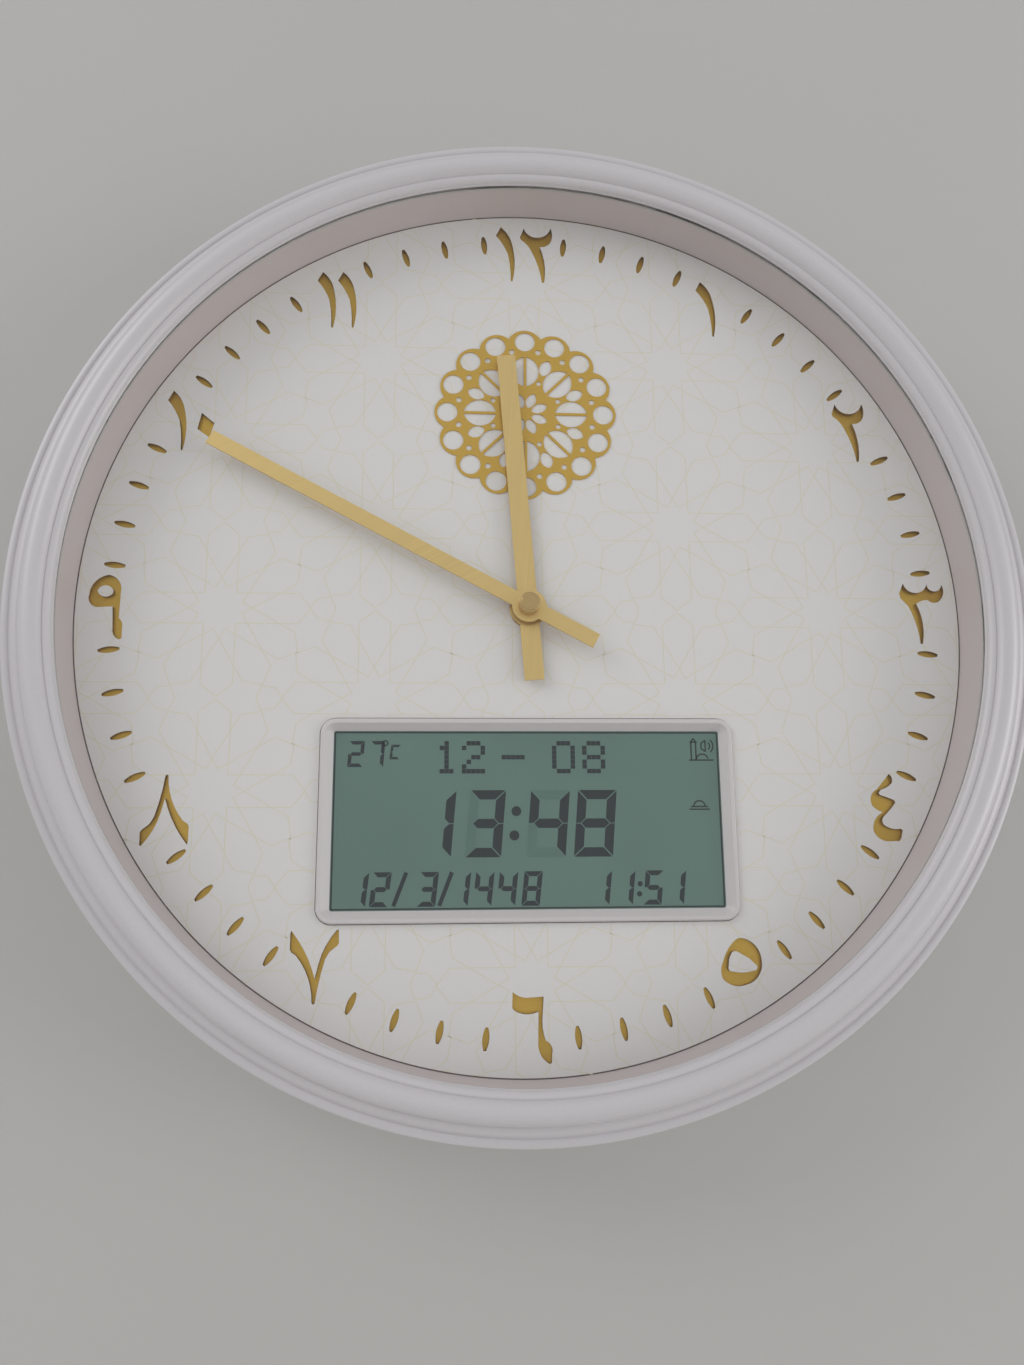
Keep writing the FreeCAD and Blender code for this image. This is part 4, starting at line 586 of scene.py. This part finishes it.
def star_lines(sizes):
    """The strokes of one twelve-petal star about its middle, as pairs of (x, z) points."""
    half = sizes.petal_half
    for k in range(PETALS):
        angle = math.tau * k / PETALS
        along = (math.cos(angle), math.sin(angle))
        across = (-along[1], along[0])

        def at(u, v):
            return along[0] * u + across[0] * v, along[1] * u + across[1] * v

        tip = (sizes.petal_tip, 0.0)
        for side in (-1, 1):
            yield at(half, side * half), at(sizes.petal_shoulder, side * half)
            yield at(sizes.petal_shoulder, side * half), at(*tip)


def pattern_strokes(sizes):
    """Every stroke of the pattern, star by star over the whole dial."""
    column = sizes.star_pitch * sizes.column_share
    row = sizes.star_pitch
    reach = int(DIAL_SEEN_R / column) + 2
    for i in range(-reach, reach + 1):
        for j in range(-reach, reach + 1):
            cx = i * column
            cz = j * row + (row / 2 if i % 2 else 0.0)
            for (ax, az), (bx, bz) in star_lines(sizes):
                yield (cx + ax, cz + az), (cx + bx, cz + bz)
            for side in (-1, 1):
                gx = cx + side * column * 2 / 3
                for k in range(GAP_CORNERS):
                    first, second = (
                        (gx + side * r * math.cos(a), cz + r * math.sin(a))
                        for r, a in (
                            (
                                sizes.gap_tip if n % 2 else sizes.gap_vertex,
                                math.tau * n / GAP_CORNERS,
                            )
                            for n in (k, k + 1)
                        )
                    )
                    yield first, second


def kept_runs(first, second, on_dial, step):
    """The parts of a stroke that lie over the dial's painted face."""
    (ax, az), (bx, bz) = first, second
    length = math.hypot(bx - ax, bz - az)
    count = max(2, int(length / step) + 1)
    start = None
    for k in range(count + 1):
        t = min(1.0, k / count)
        x, z = ax + (bx - ax) * t, az + (bz - az) * t
        if on_dial(x, z):
            if start is None:
                start = (x, z)
            end = (x, z)
        elif start is not None:
            if end != start:
                yield start, end
            start = None
    if start is not None and end != start:
        yield start, end


# Figures of the display

LIT = {
    "0": "abcdef", "1": "bc", "2": "abged", "3": "abgcd", "4": "fgbc", "5": "afgcd",
    "6": "afgedc", "7": "abc", "8": "abcdefg", "9": "abcdfg", "C": "afed",
}
DOTS = {
    "1": ("00100", "01100", "00100", "00100", "00100", "00100", "01110"),
    "2": ("01110", "10001", "00001", "00110", "01000", "10000", "11111"),
    "0": ("01110", "10001", "10001", "10001", "10001", "10001", "01110"),
    "8": ("01110", "10001", "10001", "01110", "10001", "10001", "01110"),
    "-": ("00000", "00000", "00000", "11111", "00000", "00000", "00000"),
}


# The gap at a bar's end, as a share of the bar's width
BAR_GAP_SHARE = 0.09


def bar_outlines(w, h, s, g):
    """The seven bars of a figure w wide and h high, its top left corner at (0, 0)."""
    m = h / 2
    upper = [
        (w, -g), (w, -m + g / 2), (w - s / 2, -m + g / 2), (w - s, -m + s / 2 + g / 2),
        (w - s, -g - s),
    ]
    top = [(g, 0), (w - g, 0), (w - g - s, -s), (g + s, -s)]

    def flip(points):
        return [(x, -h - z) for x, z in points]

    def left(points):
        return [(w - x, z) for x, z in points]

    return {
        "a": top, "d": flip(top), "b": upper, "c": flip(upper), "f": left(upper),
        "e": left(flip(upper)),
        "g": [
            (s / 2 + g, -m), (s + g, -m + s / 2), (w - s - g, -m + s / 2), (w - s / 2 - g, -m),
            (w - s - g, -m - s / 2), (s + g, -m - s / 2),
        ],
    }


def figure_bars(text, x, z, w, h, s, slant, lit=True):
    """The bars of one figure that are on, or off, leaning to the right towards its top."""
    gap = s * BAR_GAP_SHARE
    for name, points in bar_outlines(w, h, s, gap).items():
        if (name in LIT[text]) == lit:
            yield [(x + px + slant * (1 + pz / h), z + pz) for px, pz in points]


def round_dot(x, z, r, count=20):
    return [
        (x + r * math.cos(math.tau * k / count), z + r * math.sin(math.tau * k / count))
        for k in range(count)
    ]


def stroke_bar(ax, az, bx, bz, w):
    dx, dz = bx - ax, bz - az
    k = w / 2 / math.hypot(dx, dz)
    return [
        (ax - dz * k, az + dx * k), (bx - dz * k, bz + dx * k), (bx + dz * k, bz - dx * k),
        (ax + dz * k, az - dx * k),
    ]


def joined_strokes(points, w):
    return [stroke_bar(*a, *b, w) for a, b in zip(points, points[1:])]


def arc_strokes(x, z, r, first, last, w, count=12):
    points = [
        (x + r * math.cos(math.radians(a)), z + r * math.sin(math.radians(a)))
        for a in (first + (last - first) * k / count for k in range(count + 1))
    ]
    return joined_strokes(points, w)


# The view that the bezel leaves: left, right, low and high
LCD_VIEW = (-63.7, 63.3, -98.4, -41.0)
# A dark border of painted shade just inside the view, for the shadow in the gap at its edge: its width
# and inset
SHADOW_BORDER_W = 0.45
SHADOW_BORDER_INSET = 0.3

# Each row's top edge, figure height, bar width and lean. A row lists figures by left edge.
TIME_ROW = {"z": -60.4, "h": 21.5, "s": 3.0, "slant": 1.8}
TIME_FIGURES = [("1", -38.0, 12.5), ("3", -21.0, 11.6), ("4", -1.2, 12.7), ("8", 14.2, 12.7)]
TIME_COLON = [(-4.3, -67.2, 1.6), (-5.0, -75.0, 1.6)]
DATE_ROW = {"z": -86.4, "w": 5.9, "h": 10.8, "s": 1.55, "slant": 1.2}
DATE_FIGURES = [
    ("1", -58.4), ("2", -51.3), ("3", -36.3), ("1", -26.0), ("4", -18.5), ("4", -10.9), ("8", -3.0),
    ("1", 19.4), ("1", 27.0), ("5", 36.3), ("1", 43.6),
]
DATE_COLON = [(35.5, -90.6, 0.85), (35.2, -93.8, 0.85)]
DATE_STROKES = [(-39.6, -86.5, -43.6, -97.0, 1.3), (-25.1, -86.5, -29.1, -97.0, 1.3)]
HEAT_SLANT = 0.6
HEAT_FIGURES = [
    ("2", -59.2, -44.3, 5.0, 8.5, 1.15), ("7", -52.2, -44.3, 4.6, 8.5, 1.15),
    ("C", -45.6, -45.5, 3.2, 4.8, 0.8),
]
DEGREE_SIGN = (-47.0, -45.0, 0.85, 0, 360, 0.45)

# Figures of square dots, by left edge
DOT_TOP = -44.3
DOT_PITCH = 1.53
DOT_SIDE = 1.45
DOT_FIGURES = [("1", -30.8), ("2", -22.0), ("-", -9.0), ("0", 7.6), ("8", 17.6)]

# Line icons at the right: a tower with a loudspeaker, and a dome on its base
ICON_W = 0.45
ICON_LINES = [
    [(53.2, -50.6), (61.4, -50.6)],
    [(54.0, -44.6), (54.0, -50.6)],
    [(55.6, -44.6), (55.6, -50.6)],
    [(53.6, -44.6), (56.0, -44.6)],
    [(54.0, -44.6), (54.8, -43.4), (55.6, -44.6)],
    [(58.8, -44.0), (57.4, -45.0), (57.4, -46.8), (58.8, -47.8), (58.8, -44.0)],
    [(52.6, -66.8), (59.4, -66.8)],
    [(53.2, -65.9), (58.8, -65.9)],
]
ICON_ARCS = [
    (58.8, -45.9, 1.5, -50, 50, 8), (58.8, -45.9, 2.6, -50, 50, 10),
    (57.6, -50.6, 2.0, 15, 165, 10), (56.0, -65.9, 1.9, 0, 180, 12),
]


def time_figures(lit):
    """The bars of the large row that are on, or the faint ones that are off."""
    return [
        bar for text, x, w in TIME_FIGURES if lit or text != "1"
        for bar in figure_bars(text, x, w=w, lit=lit, **TIME_ROW)
    ]


def dotted_figures():
    bits = [
        (x + column * DOT_PITCH, DOT_TOP - row * DOT_PITCH)
        for text, x in DOT_FIGURES
        for row, line in enumerate(DOTS[text])
        for column, bit in enumerate(line) if bit == "1"
    ]
    return [
        [(x, z), (x + DOT_SIDE, z), (x + DOT_SIDE, z - DOT_SIDE), (x, z - DOT_SIDE)]
        for x, z in bits
    ]


def shadow_border_strokes():
    """A fine dark frame just inside the view: painted shade for the shadow in the gap at the view's
    edge.
    """
    left, right, low, high = LCD_VIEW
    inset = SHADOW_BORDER_W / 2 + SHADOW_BORDER_INSET
    corners = [
        (left + inset, low + inset), (right - inset, low + inset), (right - inset, high - inset),
        (left + inset, high - inset),
    ]
    return joined_strokes(corners + corners[:1], SHADOW_BORDER_W)


def lit_outlines():
    """Everything on the display that is on, and a dark border of painted shade just inside the view.
    """
    parts = time_figures(True)
    parts += [round_dot(*place) for place in TIME_COLON + DATE_COLON]
    for text, x in DATE_FIGURES:
        parts += figure_bars(text, x, **DATE_ROW)
    parts += [stroke_bar(*ends) for ends in DATE_STROKES]
    for figure in HEAT_FIGURES:
        parts += figure_bars(*figure, HEAT_SLANT)
    parts += arc_strokes(*DEGREE_SIGN)
    parts += dotted_figures()
    for points in ICON_LINES:
        parts += joined_strokes(points, ICON_W)
    for x, z, r, first, last, count in ICON_ARCS:
        parts += arc_strokes(x, z, r, first, last, ICON_W, count)
    return parts + shadow_border_strokes()


# Cells and springs behind the rear cover

CELL_SECTION = [
    (0.0, 0.0), (5.6, 0.0), (6.1, 0.15), (6.8, 0.35), (6.95, 0.8), (7.0, 1.0), (7.0, 47.6),
    (6.95, 48.0), (6.7, 48.4, 6.2, 48.6), (5.8, 48.3), (3.3, 48.3), (2.9, 48.5), (2.7, 48.8),
    (2.7, 49.7), (2.5, 49.9), (0.0, 50.0),
]
# The tray's cells lie between two plates, end to end by turns. The movement has one of its own.
TRAY_LOW, TRAY_HIGH = box_mm("batteries")
BAY_LOW, BAY_HIGH = box_mm("movement_battery")
TRAY_SPRING = 7.0
TRAY_TURNS = 4.5
TRAY_PLATES = (TRAY_LOW.x, TRAY_HIGH.x)
TRAY_PITCH = 15.0
TRAY_ROWS = ((-TRAY_PITCH, 1), (0.0, -1), (TRAY_PITCH, 1))
TRAY_Y = (TRAY_LOW.y + TRAY_HIGH.y) / 2
BAY_SPRING = 2.2
BAY_TURNS = 2.0
BAY_X = BAY_LOW.x - BAY_SPRING
BAY_Y = (BAY_LOW.y + BAY_HIGH.y) / 2
BAY_Z = (BAY_LOW.z + BAY_HIGH.z) / 2
# What shows as bare steel: faces this near a cell's axis, or tilted to its ends by this much
NUB_REACH = 5.0
END_TILT = 0.3

# Contact springs taper from their plate to the cell
SPRING_WIRE_R = 0.35
SPRING_FOOT_R = 4.2
SPRING_TIP_R = 2.7
STEPS_PER_TURN = 24


def cell_mesh(mesh, x_flat, y, z, toward):
    part = bmesh.new()
    add_turned(part, drawn_out(CELL_SECTION, SMALL_STEPS), CELL_SEGMENTS)
    turn = Matrix.Rotation(math.radians(-90 * toward), 4, "Z")
    place = Matrix.Translation((x_flat * MM, y * MM, z * MM))
    part.transform(place @ turn)
    copied = bpy.data.meshes.new("cell_part")
    part.to_mesh(copied)
    part.free()
    mesh.from_mesh(copied)
    bpy.data.meshes.remove(copied)


def spring_points(x_plate, y, z, toward, length, turns):
    count = int(turns * STEPS_PER_TURN)
    for k in range(count + 1):
        share = k / count
        radius = SPRING_FOOT_R + (SPRING_TIP_R - SPRING_FOOT_R) * share
        angle = math.tau * turns * share
        x = x_plate + toward * (SPRING_WIRE_R + (length - 2 * SPRING_WIRE_R) * share)
        yield (
            x * MM, (y + radius * math.cos(angle)) * MM, (z + radius * math.sin(angle)) * MM, 1.0,
        )


# Settings that a user would change

def length(name, description, value):
    return FloatProperty(name=name, description=description, default=value, min=0.0)


def colour(name, description, text):
    return FloatVectorProperty(
        name=name, description=description, default=to_linear(text), size=4, min=0.0, max=1.0,
        subtype="COLOR",
    )


class WallClockSizes(bpy.types.PropertyGroup):
    ring_segments: IntProperty(
        name="Segments", description="Segments round each turned piece", default=288, min=48,
    )
    star_pitch: length("Star pitch", "Middle of one star to the next above, in mm", 60.6)
    column_share: FloatProperty(
        name="Column share", description="Column spacing as a share of the star pitch",
        default=0.842, min=0.5, max=1.0, subtype="FACTOR",
    )
    petal_half: length("Petal half width", "From a petal's axis to its side, in mm", 5.22)
    petal_shoulder: length("Petal shoulder", "From the star's middle to the shoulders, in mm", 25.6)
    petal_tip: length("Petal tip", "From the star's middle to the petal's tip, in mm", 29.85)
    gap_tip: length("Gap tip", "From the middle of a gap to the petals' tips, in mm", 4.6)
    gap_vertex: length("Gap vertex", "From the middle of a gap to its own corners, in mm", 4.0)
    line_width: length("Printed line", "Width of the pattern's printed lines, in mm", 0.34)
    line_proud: length("Ink height", "Height of the printed lines over the paint, in mm", 0.012)


class WallClockColours(bpy.types.PropertyGroup):
    frame: colour("Frame", "Pearl lacquer of the front frame", "#C4C0C2")
    bezel: colour("Bezel", "Pearl lacquer of the display's bezel, a little pinker", "#D2C9CC")
    dial: colour("Dial", "Paint of the dial's face", "#E0DADA")
    # Painted shade: a dark gold brown for the shadow on the walls of the cut figures
    cut_edge_shade: colour("Cut edge", "Edges of the figures cut through the dial", "#8A6A2C")
    line: colour("Printed line", "Ink of the star pattern", "#DCD4C4")
    hands: colour("Hands", "Gold plate of both hands", "#DDBE80")
    cap: colour("Cap", "Turned brass cap over the arbor", "#C4A673")
    display: colour("Display", "Unlit ground of the display", "#5A766E")
    # The lit colour also paints the dark border of painted shade round the display's view
    lit: colour("Lit segments", "Segments that are on", "#1E262B")
    unlit: colour("Unlit segments", "Faint segments that are off", "#557168")
    wall: colour("Wall", "Painted wall behind the clock", "#B9B7B3")


# Operators, one for each piece or group of like pieces

class WALLCLOCK_OT_finishes(bpy.types.Operator):
    """Makes every finish and lays it on the pieces that keep their solid's shape"""
    bl_idname = "wall_clock.finishes"
    bl_label = "Finishes"

    def execute(self, context):
        FINISHES.update(all_finishes(context.scene.wall_clock_colours))
        for entry in frame["record"]["subparts"]:
            node = frame["nodes"][entry["node"]]
            node.data.materials.clear()
            node.data.materials.append(FINISHES[entry["material_slot"]])
        colours = context.scene.wall_clock_colours
        bezel = frame["nodes"]["lcd_bezel"].data.materials
        bezel.clear()
        bezel.append(pearl_lacquer_on_abs("Pearl_lacquer_on_display_bezel", colours.bezel))
        for name, angle in HAND_ANGLES.items():
            node = frame["nodes"][name]
            node.data.materials.clear()
            node.data.materials.append(
                brushed_gold_plate("Brushed_gold_plate_" + name, colours.hands, angle)
            )
        return {"FINISHED"}


class WALLCLOCK_OT_frame(bpy.types.Operator):
    """Turns the front frame with its beads, rib and screw bosses"""
    bl_idname = "wall_clock.frame"
    bl_label = "Front frame"

    def execute(self, context):
        mesh = bmesh.new()
        segments = context.scene.wall_clock_sizes.ring_segments
        add_turned(mesh, drawn_out(inside_frame(FRAME_SECTION), FRAME_STEPS), segments)
        for k in range(SCREWS):
            angle = math.tau * (k + 0.5) / SCREWS
            add_tube(
                mesh, BOSS_R, BOSS_HOLE_R, BOSS_FRONT_Y, BOSS_END_Y,
                SCREW_RING * math.sin(angle), SCREW_RING * math.cos(angle),
            )
        finish_piece(
            mesh, "frame_turned", FINISHES["pearl_plastic"], "case",
            ["front_frame"], FRAME_CREASE_DEG,
        )
        return {"FINISHED"}


class WALLCLOCK_OT_inner_ring(bpy.types.Operator):
    """Turns the plain ring between the glass and the dial"""
    bl_idname = "wall_clock.inner_ring"
    bl_label = "Inner ring"

    def execute(self, context):
        mesh = bmesh.new()
        segments = context.scene.wall_clock_sizes.ring_segments
        add_turned(mesh, drawn_out(inside_frame(RING_SECTION), SMALL_STEPS), segments)
        finish_piece(
            mesh, "inner_ring_turned", FINISHES["ring_plastic"], "case",
            ["inner_ring"],
        )
        return {"FINISHED"}


class WALLCLOCK_OT_ring_gap(bpy.types.Operator):
    """Lays a thin dark ring on the dial where the inner ring meets it: painted shadow for the gap at
    the ring's foot
    """
    bl_idname = "wall_clock.ring_gap"
    bl_label = "Strip at the ring's foot"

    def execute(self, context):
        mesh = bmesh.new()
        segments = context.scene.wall_clock_sizes.ring_segments
        add_turned(mesh, inside_frame(GAP_SECTION), segments)
        # The dark colour is painted shadow, the shade that falls in the gap at the ring's foot
        strip = surface(
            "Painted_shadow_at_ring_foot", to_linear("#5C504E"), roughness=0.9, grain_mm=0.4, tone=0.1,
            bump_mm=0.02,
        )
        finish_piece(mesh, "ring_foot_painted_shadow", strip, "case", (), 0.0)
        return {"FINISHED"}


class WALLCLOCK_OT_pattern(bpy.types.Operator):
    """Prints the star pattern on the dial, clear of the figures and the window"""
    bl_idname = "wall_clock.pattern"
    bl_label = "Star pattern"

    def execute(self, context):
        sizes = context.scene.wall_clock_sizes
        dial = frame["nodes"]["dial_face"].data
        tree = BVHTree.FromPolygons(
            [v.co for v in dial.vertices], [p.vertices for p in dial.polygons],
        )
        probe_y = (DIAL_FRONT_Y - PROBE_GAP) * MM

        def on_dial(x, z):
            if math.hypot(x, z) > DIAL_SEEN_R:
                return False
            start = Vector((x * MM, probe_y, z * MM))
            hit = tree.ray_cast(start, Vector((0, 1, 0)), PROBE_REACH * MM)
            return hit[0] is not None

        mesh = bmesh.new()
        seen = set()
        for first, second in pattern_strokes(sizes):
            key = tuple(sorted(tuple(round(v, 1) for v in end) for end in (first, second)))
            if key in seen:
                continue
            seen.add(key)
            heading = math.degrees(math.atan2(second[1] - first[1], second[0] - first[0]))
            level = int(heading % 180 / LEVEL_DEG)
            front = DIAL_FRONT_Y - sizes.line_proud - level * LEVEL_STEP
            for start, end in kept_runs(first, second, on_dial, RUN_STEP):
                add_plate(mesh, stroke_bar(*start, *end, sizes.line_width), front, DIAL_FRONT_Y)
        ink = surface(
            "Screen_printed_gold_ink", context.scene.wall_clock_colours.line, roughness=0.45,
            grain_mm=0.5, tone=0.03, bump_mm=0.002,
        )
        finish_piece(mesh, "star_pattern", ink, "case", (), 0.0)
        return {"FINISHED"}


class WALLCLOCK_OT_display(bpy.types.Operator):
    """Lays the display's lit and faint segments on its glass, and a dark border of painted shade round
    the view
    """
    bl_idname = "wall_clock.display"
    bl_label = "Display figures"

    def execute(self, context):
        colours = context.scene.wall_clock_colours
        for name, parts, ink, tone in (
            # The lit set also carries a dark border of painted shade just inside the view
            ("segments_on", lit_outlines(), colours.lit, 0.05),
            ("segments_off", time_figures(False), colours.unlit, 0.02),
        ):
            mesh = bmesh.new()
            for outline in parts:
                add_plate(mesh, outline, LCD_FRONT_Y - FIGURE_PROUD, LCD_FRONT_Y)
            finish = surface(
                "Liquid_crystal_" + name, ink, roughness=0.45, grain_mm=0.6, tone=tone,
                bump_mm=0.001,
            )
            finish_piece(mesh, name, finish, "case", (), 0.0)
        return {"FINISHED"}


class WALLCLOCK_OT_cap(bpy.types.Operator):
    """Turns the brass cap over the arbor"""
    bl_idname = "wall_clock.cap"
    bl_label = "Centre cap"

    def execute(self, context):
        mesh = bmesh.new()
        add_turned(mesh, drawn_out(CAP_SECTION, CAP_STEPS), CAP_SEGMENTS)
        finish_piece(
            mesh, "cap_turned", FINISHES["cap_brass"], "minute_works", ["centre_cap"],
        )
        return {"FINISHED"}


class WALLCLOCK_OT_cells(bpy.types.Operator):
    """Builds the cells with their crimped ends and bare steel contacts"""
    bl_idname = "wall_clock.cells"
    bl_label = "Cells"

    def execute(self, context):
        for name, places in (
            ("batteries", [
                (TRAY_PLATES[0 if toward > 0 else 1] + toward * TRAY_SPRING, TRAY_Y, z, toward)
                for z, toward in TRAY_ROWS
            ]),
            ("movement_battery", [(BAY_X + BAY_SPRING, BAY_Y, BAY_Z, 1)]),
        ):
            mesh = bmesh.new()
            for place in places:
                cell_mesh(mesh, *place)
            piece = finish_piece(
                mesh, name + "_jacketed", FINISHES["cell_jacket"], "case", [name],
            )
            piece.data.materials.append(FINISHES["can_steel"])
            for face in piece.data.polygons:
                if abs(face.normal.x) > END_TILT or self.beside_nub(face, places):
                    face.material_index = 1
        return {"FINISHED"}

    @staticmethod
    def beside_nub(face, places):
        """Whether a face is on a cell's small end contact."""
        return any(
            math.hypot(face.center.y - y * MM, face.center.z - z * MM) < NUB_REACH * MM
            for _, y, z, _ in places
        )


class WALLCLOCK_OT_springs(bpy.types.Operator):
    """Winds the contact springs between the plates and the cells"""
    bl_idname = "wall_clock.springs"
    bl_label = "Contact springs"

    def execute(self, context):
        springs = [
            (TRAY_PLATES[0 if toward > 0 else 1], TRAY_Y, z, toward, TRAY_SPRING, TRAY_TURNS)
            for z, toward in TRAY_ROWS
        ] + [(BAY_X, BAY_Y, BAY_Z, 1, BAY_SPRING, BAY_TURNS)]
        curve = bpy.data.curves.new("contact_springs", "CURVE")
        curve.dimensions = "3D"
        curve.bevel_depth = SPRING_WIRE_R * MM
        curve.bevel_resolution = 3
        curve.use_fill_caps = True
        for spring in springs:
            points = list(spring_points(*spring))
            line = curve.splines.new("POLY")
            line.points.add(len(points) - 1)
            for point, place in zip(line.points, points):
                point.co = place
        curve.materials.append(FINISHES["screw_steel"])
        piece = bpy.data.objects.new("contact_springs", curve)
        context.scene.collection.objects.link(piece)
        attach(piece, "case")
        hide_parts("battery_springs")
        return {"FINISHED"}


class WALLCLOCK_OT_stage(bpy.types.Operator):
    """Sets the wall, floor, soft lamps and the camera at the photograph's angle"""
    bl_idname = "wall_clock.stage"
    bl_label = "Stage"

    def execute(self, context):
        colours = context.scene.wall_clock_colours
        upright = Matrix.Rotation(math.radians(90), 4, "X")
        wall = self.sheet(
            "wall", WALL_WIDTH, Matrix.Translation((0, WALL_GAP, 0)) @ upright,
            self.wall_paint(colours.wall),
        )
        matt = surface(
            "Pale_matt_floor", to_linear("#DCDAD7"), roughness=0.7, grain_mm=30.0, tone=0.01,
            bump_mm=0.01,
        )
        floor = self.sheet("floor", FLOOR_WIDTH, Matrix.Translation((0, 0, FLOOR_Z)), matt)
        self.world()
        for name, (place, width, watts) in LAMPS.items():
            data = bpy.data.lights.new(name, "AREA")
            data.shape = "DISK"
            data.size = width
            data.energy = watts
            lamp = bpy.data.objects.new(name, data)
            lamp.location = place
            lamp.rotation_euler = (-Vector(place)).to_track_quat("-Z", "Y").to_euler()
            context.scene.collection.objects.link(lamp)
        self.camera(context.scene)
        context.scene.view_settings.view_transform = "Standard"
        return {"FINISHED"}

    @staticmethod
    def sheet(name, size, place, material):
        mesh = bmesh.new()
        bmesh.ops.create_grid(mesh, x_segments=8, y_segments=8, size=size / 2)
        data = bpy.data.meshes.new(name)
        mesh.to_mesh(data)
        mesh.free()
        data.materials.append(material)
        made = bpy.data.objects.new(name, data)
        made.matrix_world = place
        bpy.context.scene.collection.objects.link(made)
        return made

    @staticmethod
    def wall_paint(colour):
        """Rolled matt emulsion that is there from the front only, so the rear can be seen."""
        made = empty_material("Rolled_matt_emulsion")
        tree = made.node_tree
        noise = grain(tree, 2.5)
        patches = grain(tree, 260.0, detail=2.0)
        base = two_tones(tree, patches, shade(colour, 0.985), shade(colour, 1.015))
        bump = add_node(
            tree, "ShaderNodeBump", {"Strength": 0.25, "Distance": 0.1 * MM}, {"Height": noise},
        )
        paint = add_node(
            tree, "ShaderNodeBsdfPrincipled", {"Specular IOR Level": 0.25},
            {
                "Base Color": base, "Roughness": spread(tree, noise, 0.75, 0.85),
                "Normal": bump.outputs["Normal"],
            },
        )
        side = add_node(tree, "ShaderNodeNewGeometry")
        ray = add_node(tree, "ShaderNodeLightPath")
        lamp_or_bounce = add_node(
            tree, "ShaderNodeMath", {"operation": "MAXIMUM"},
            {0: ray.outputs["Is Shadow Ray"], 1: ray.outputs["Is Diffuse Ray"]},
        )
        hidden = add_node(
            tree, "ShaderNodeMath", {"operation": "MAXIMUM"},
            {0: side.outputs["Backfacing"], 1: lamp_or_bounce.outputs["Value"]},
        )
        clear = add_node(tree, "ShaderNodeBsdfTransparent")
        both = add_node(
            tree, "ShaderNodeMixShader",
            links={
                0: hidden.outputs["Value"], 1: paint.outputs["BSDF"], 2: clear.outputs["BSDF"],
            },
        )
        add_node(tree, "ShaderNodeOutputMaterial", links={"Surface": both.outputs["Shader"]})
        return made

    @staticmethod
    def world():
        made = bpy.data.worlds.new("Soft_room")
        made.use_nodes = True
        tree = made.node_tree
        tree.nodes.clear()
        room = add_node(
            tree, "ShaderNodeBackground", {"Color": to_linear("#EDEFF2"), "Strength": 0.74},
        )
        seen = add_node(
            tree, "ShaderNodeBackground", {"Color": to_linear("#D3D3D3"), "Strength": 1.0},
        )
        ray = add_node(tree, "ShaderNodeLightPath")
        mirrored = add_node(
            tree, "ShaderNodeMath", {"operation": "MAXIMUM"},
            {0: ray.outputs["Is Glossy Ray"], 1: ray.outputs["Is Transmission Ray"]},
        )
        shown = add_node(
            tree, "ShaderNodeMath", {"operation": "MAXIMUM"},
            {0: ray.outputs["Is Camera Ray"], 1: mirrored.outputs["Value"]},
        )
        both = add_node(
            tree, "ShaderNodeMixShader",
            links={
                0: shown.outputs["Value"], 1: room.outputs["Background"],
                2: seen.outputs["Background"],
            },
        )
        add_node(tree, "ShaderNodeOutputWorld", links={"Surface": both.outputs["Shader"]})
        bpy.context.scene.world = made

    @staticmethod
    def camera(scene):
        """Just below the hand axis, close to the glass, tipped a little upwards."""
        turn = Vector(CAMERA_TURN)
        data = bpy.data.cameras.new("camera")
        data.sensor_width = SENSOR_MM
        data.lens = LENS_MM
        data.clip_start = 0.01
        view = bpy.data.objects.new("camera", data)
        view.matrix_world = (
            Matrix.Translation(CAMERA_PLACE)
            @ Matrix.Rotation(turn.length, 4, turn.normalized())
            @ Matrix.Rotation(math.radians(90), 4, "X")
        )
        scene.collection.objects.link(view)
        scene.camera = view


OPERATORS = [
    WALLCLOCK_OT_finishes, WALLCLOCK_OT_frame, WALLCLOCK_OT_inner_ring, WALLCLOCK_OT_ring_gap,
    WALLCLOCK_OT_pattern, WALLCLOCK_OT_display, WALLCLOCK_OT_cap, WALLCLOCK_OT_cells,
    WALLCLOCK_OT_springs, WALLCLOCK_OT_stage,
]


class WALLCLOCK_PT_panel(bpy.types.Panel):
    """The clock's pieces and settings in the sidebar"""
    bl_label = "Wall Clock"
    bl_idname = "WALLCLOCK_PT_panel"
    bl_space_type = "VIEW_3D"
    bl_region_type = "UI"
    bl_category = "Wall Clock"

    def draw(self, context):
        for group in (context.scene.wall_clock_sizes, context.scene.wall_clock_colours):
            box = self.layout.box()
            for name in group.__annotations__:
                box.prop(group, name)
        for kind in OPERATORS:
            self.layout.operator(kind.bl_idname)


CLASSES = [WallClockSizes, WallClockColours, *OPERATORS, WALLCLOCK_PT_panel]


def register():
    for kind in CLASSES:
        bpy.utils.register_class(kind)
    bpy.types.Scene.wall_clock_sizes = PointerProperty(type=WallClockSizes)
    bpy.types.Scene.wall_clock_colours = PointerProperty(type=WallClockColours)


def unregister():
    del bpy.types.Scene.wall_clock_colours
    del bpy.types.Scene.wall_clock_sizes
    for kind in reversed(CLASSES):
        bpy.utils.unregister_class(kind)


def main():
    register()
    for kind in OPERATORS:
        group, name = kind.bl_idname.split(".")
        getattr(getattr(bpy.ops, group), name)()


if __name__ == "__main__":
    main()
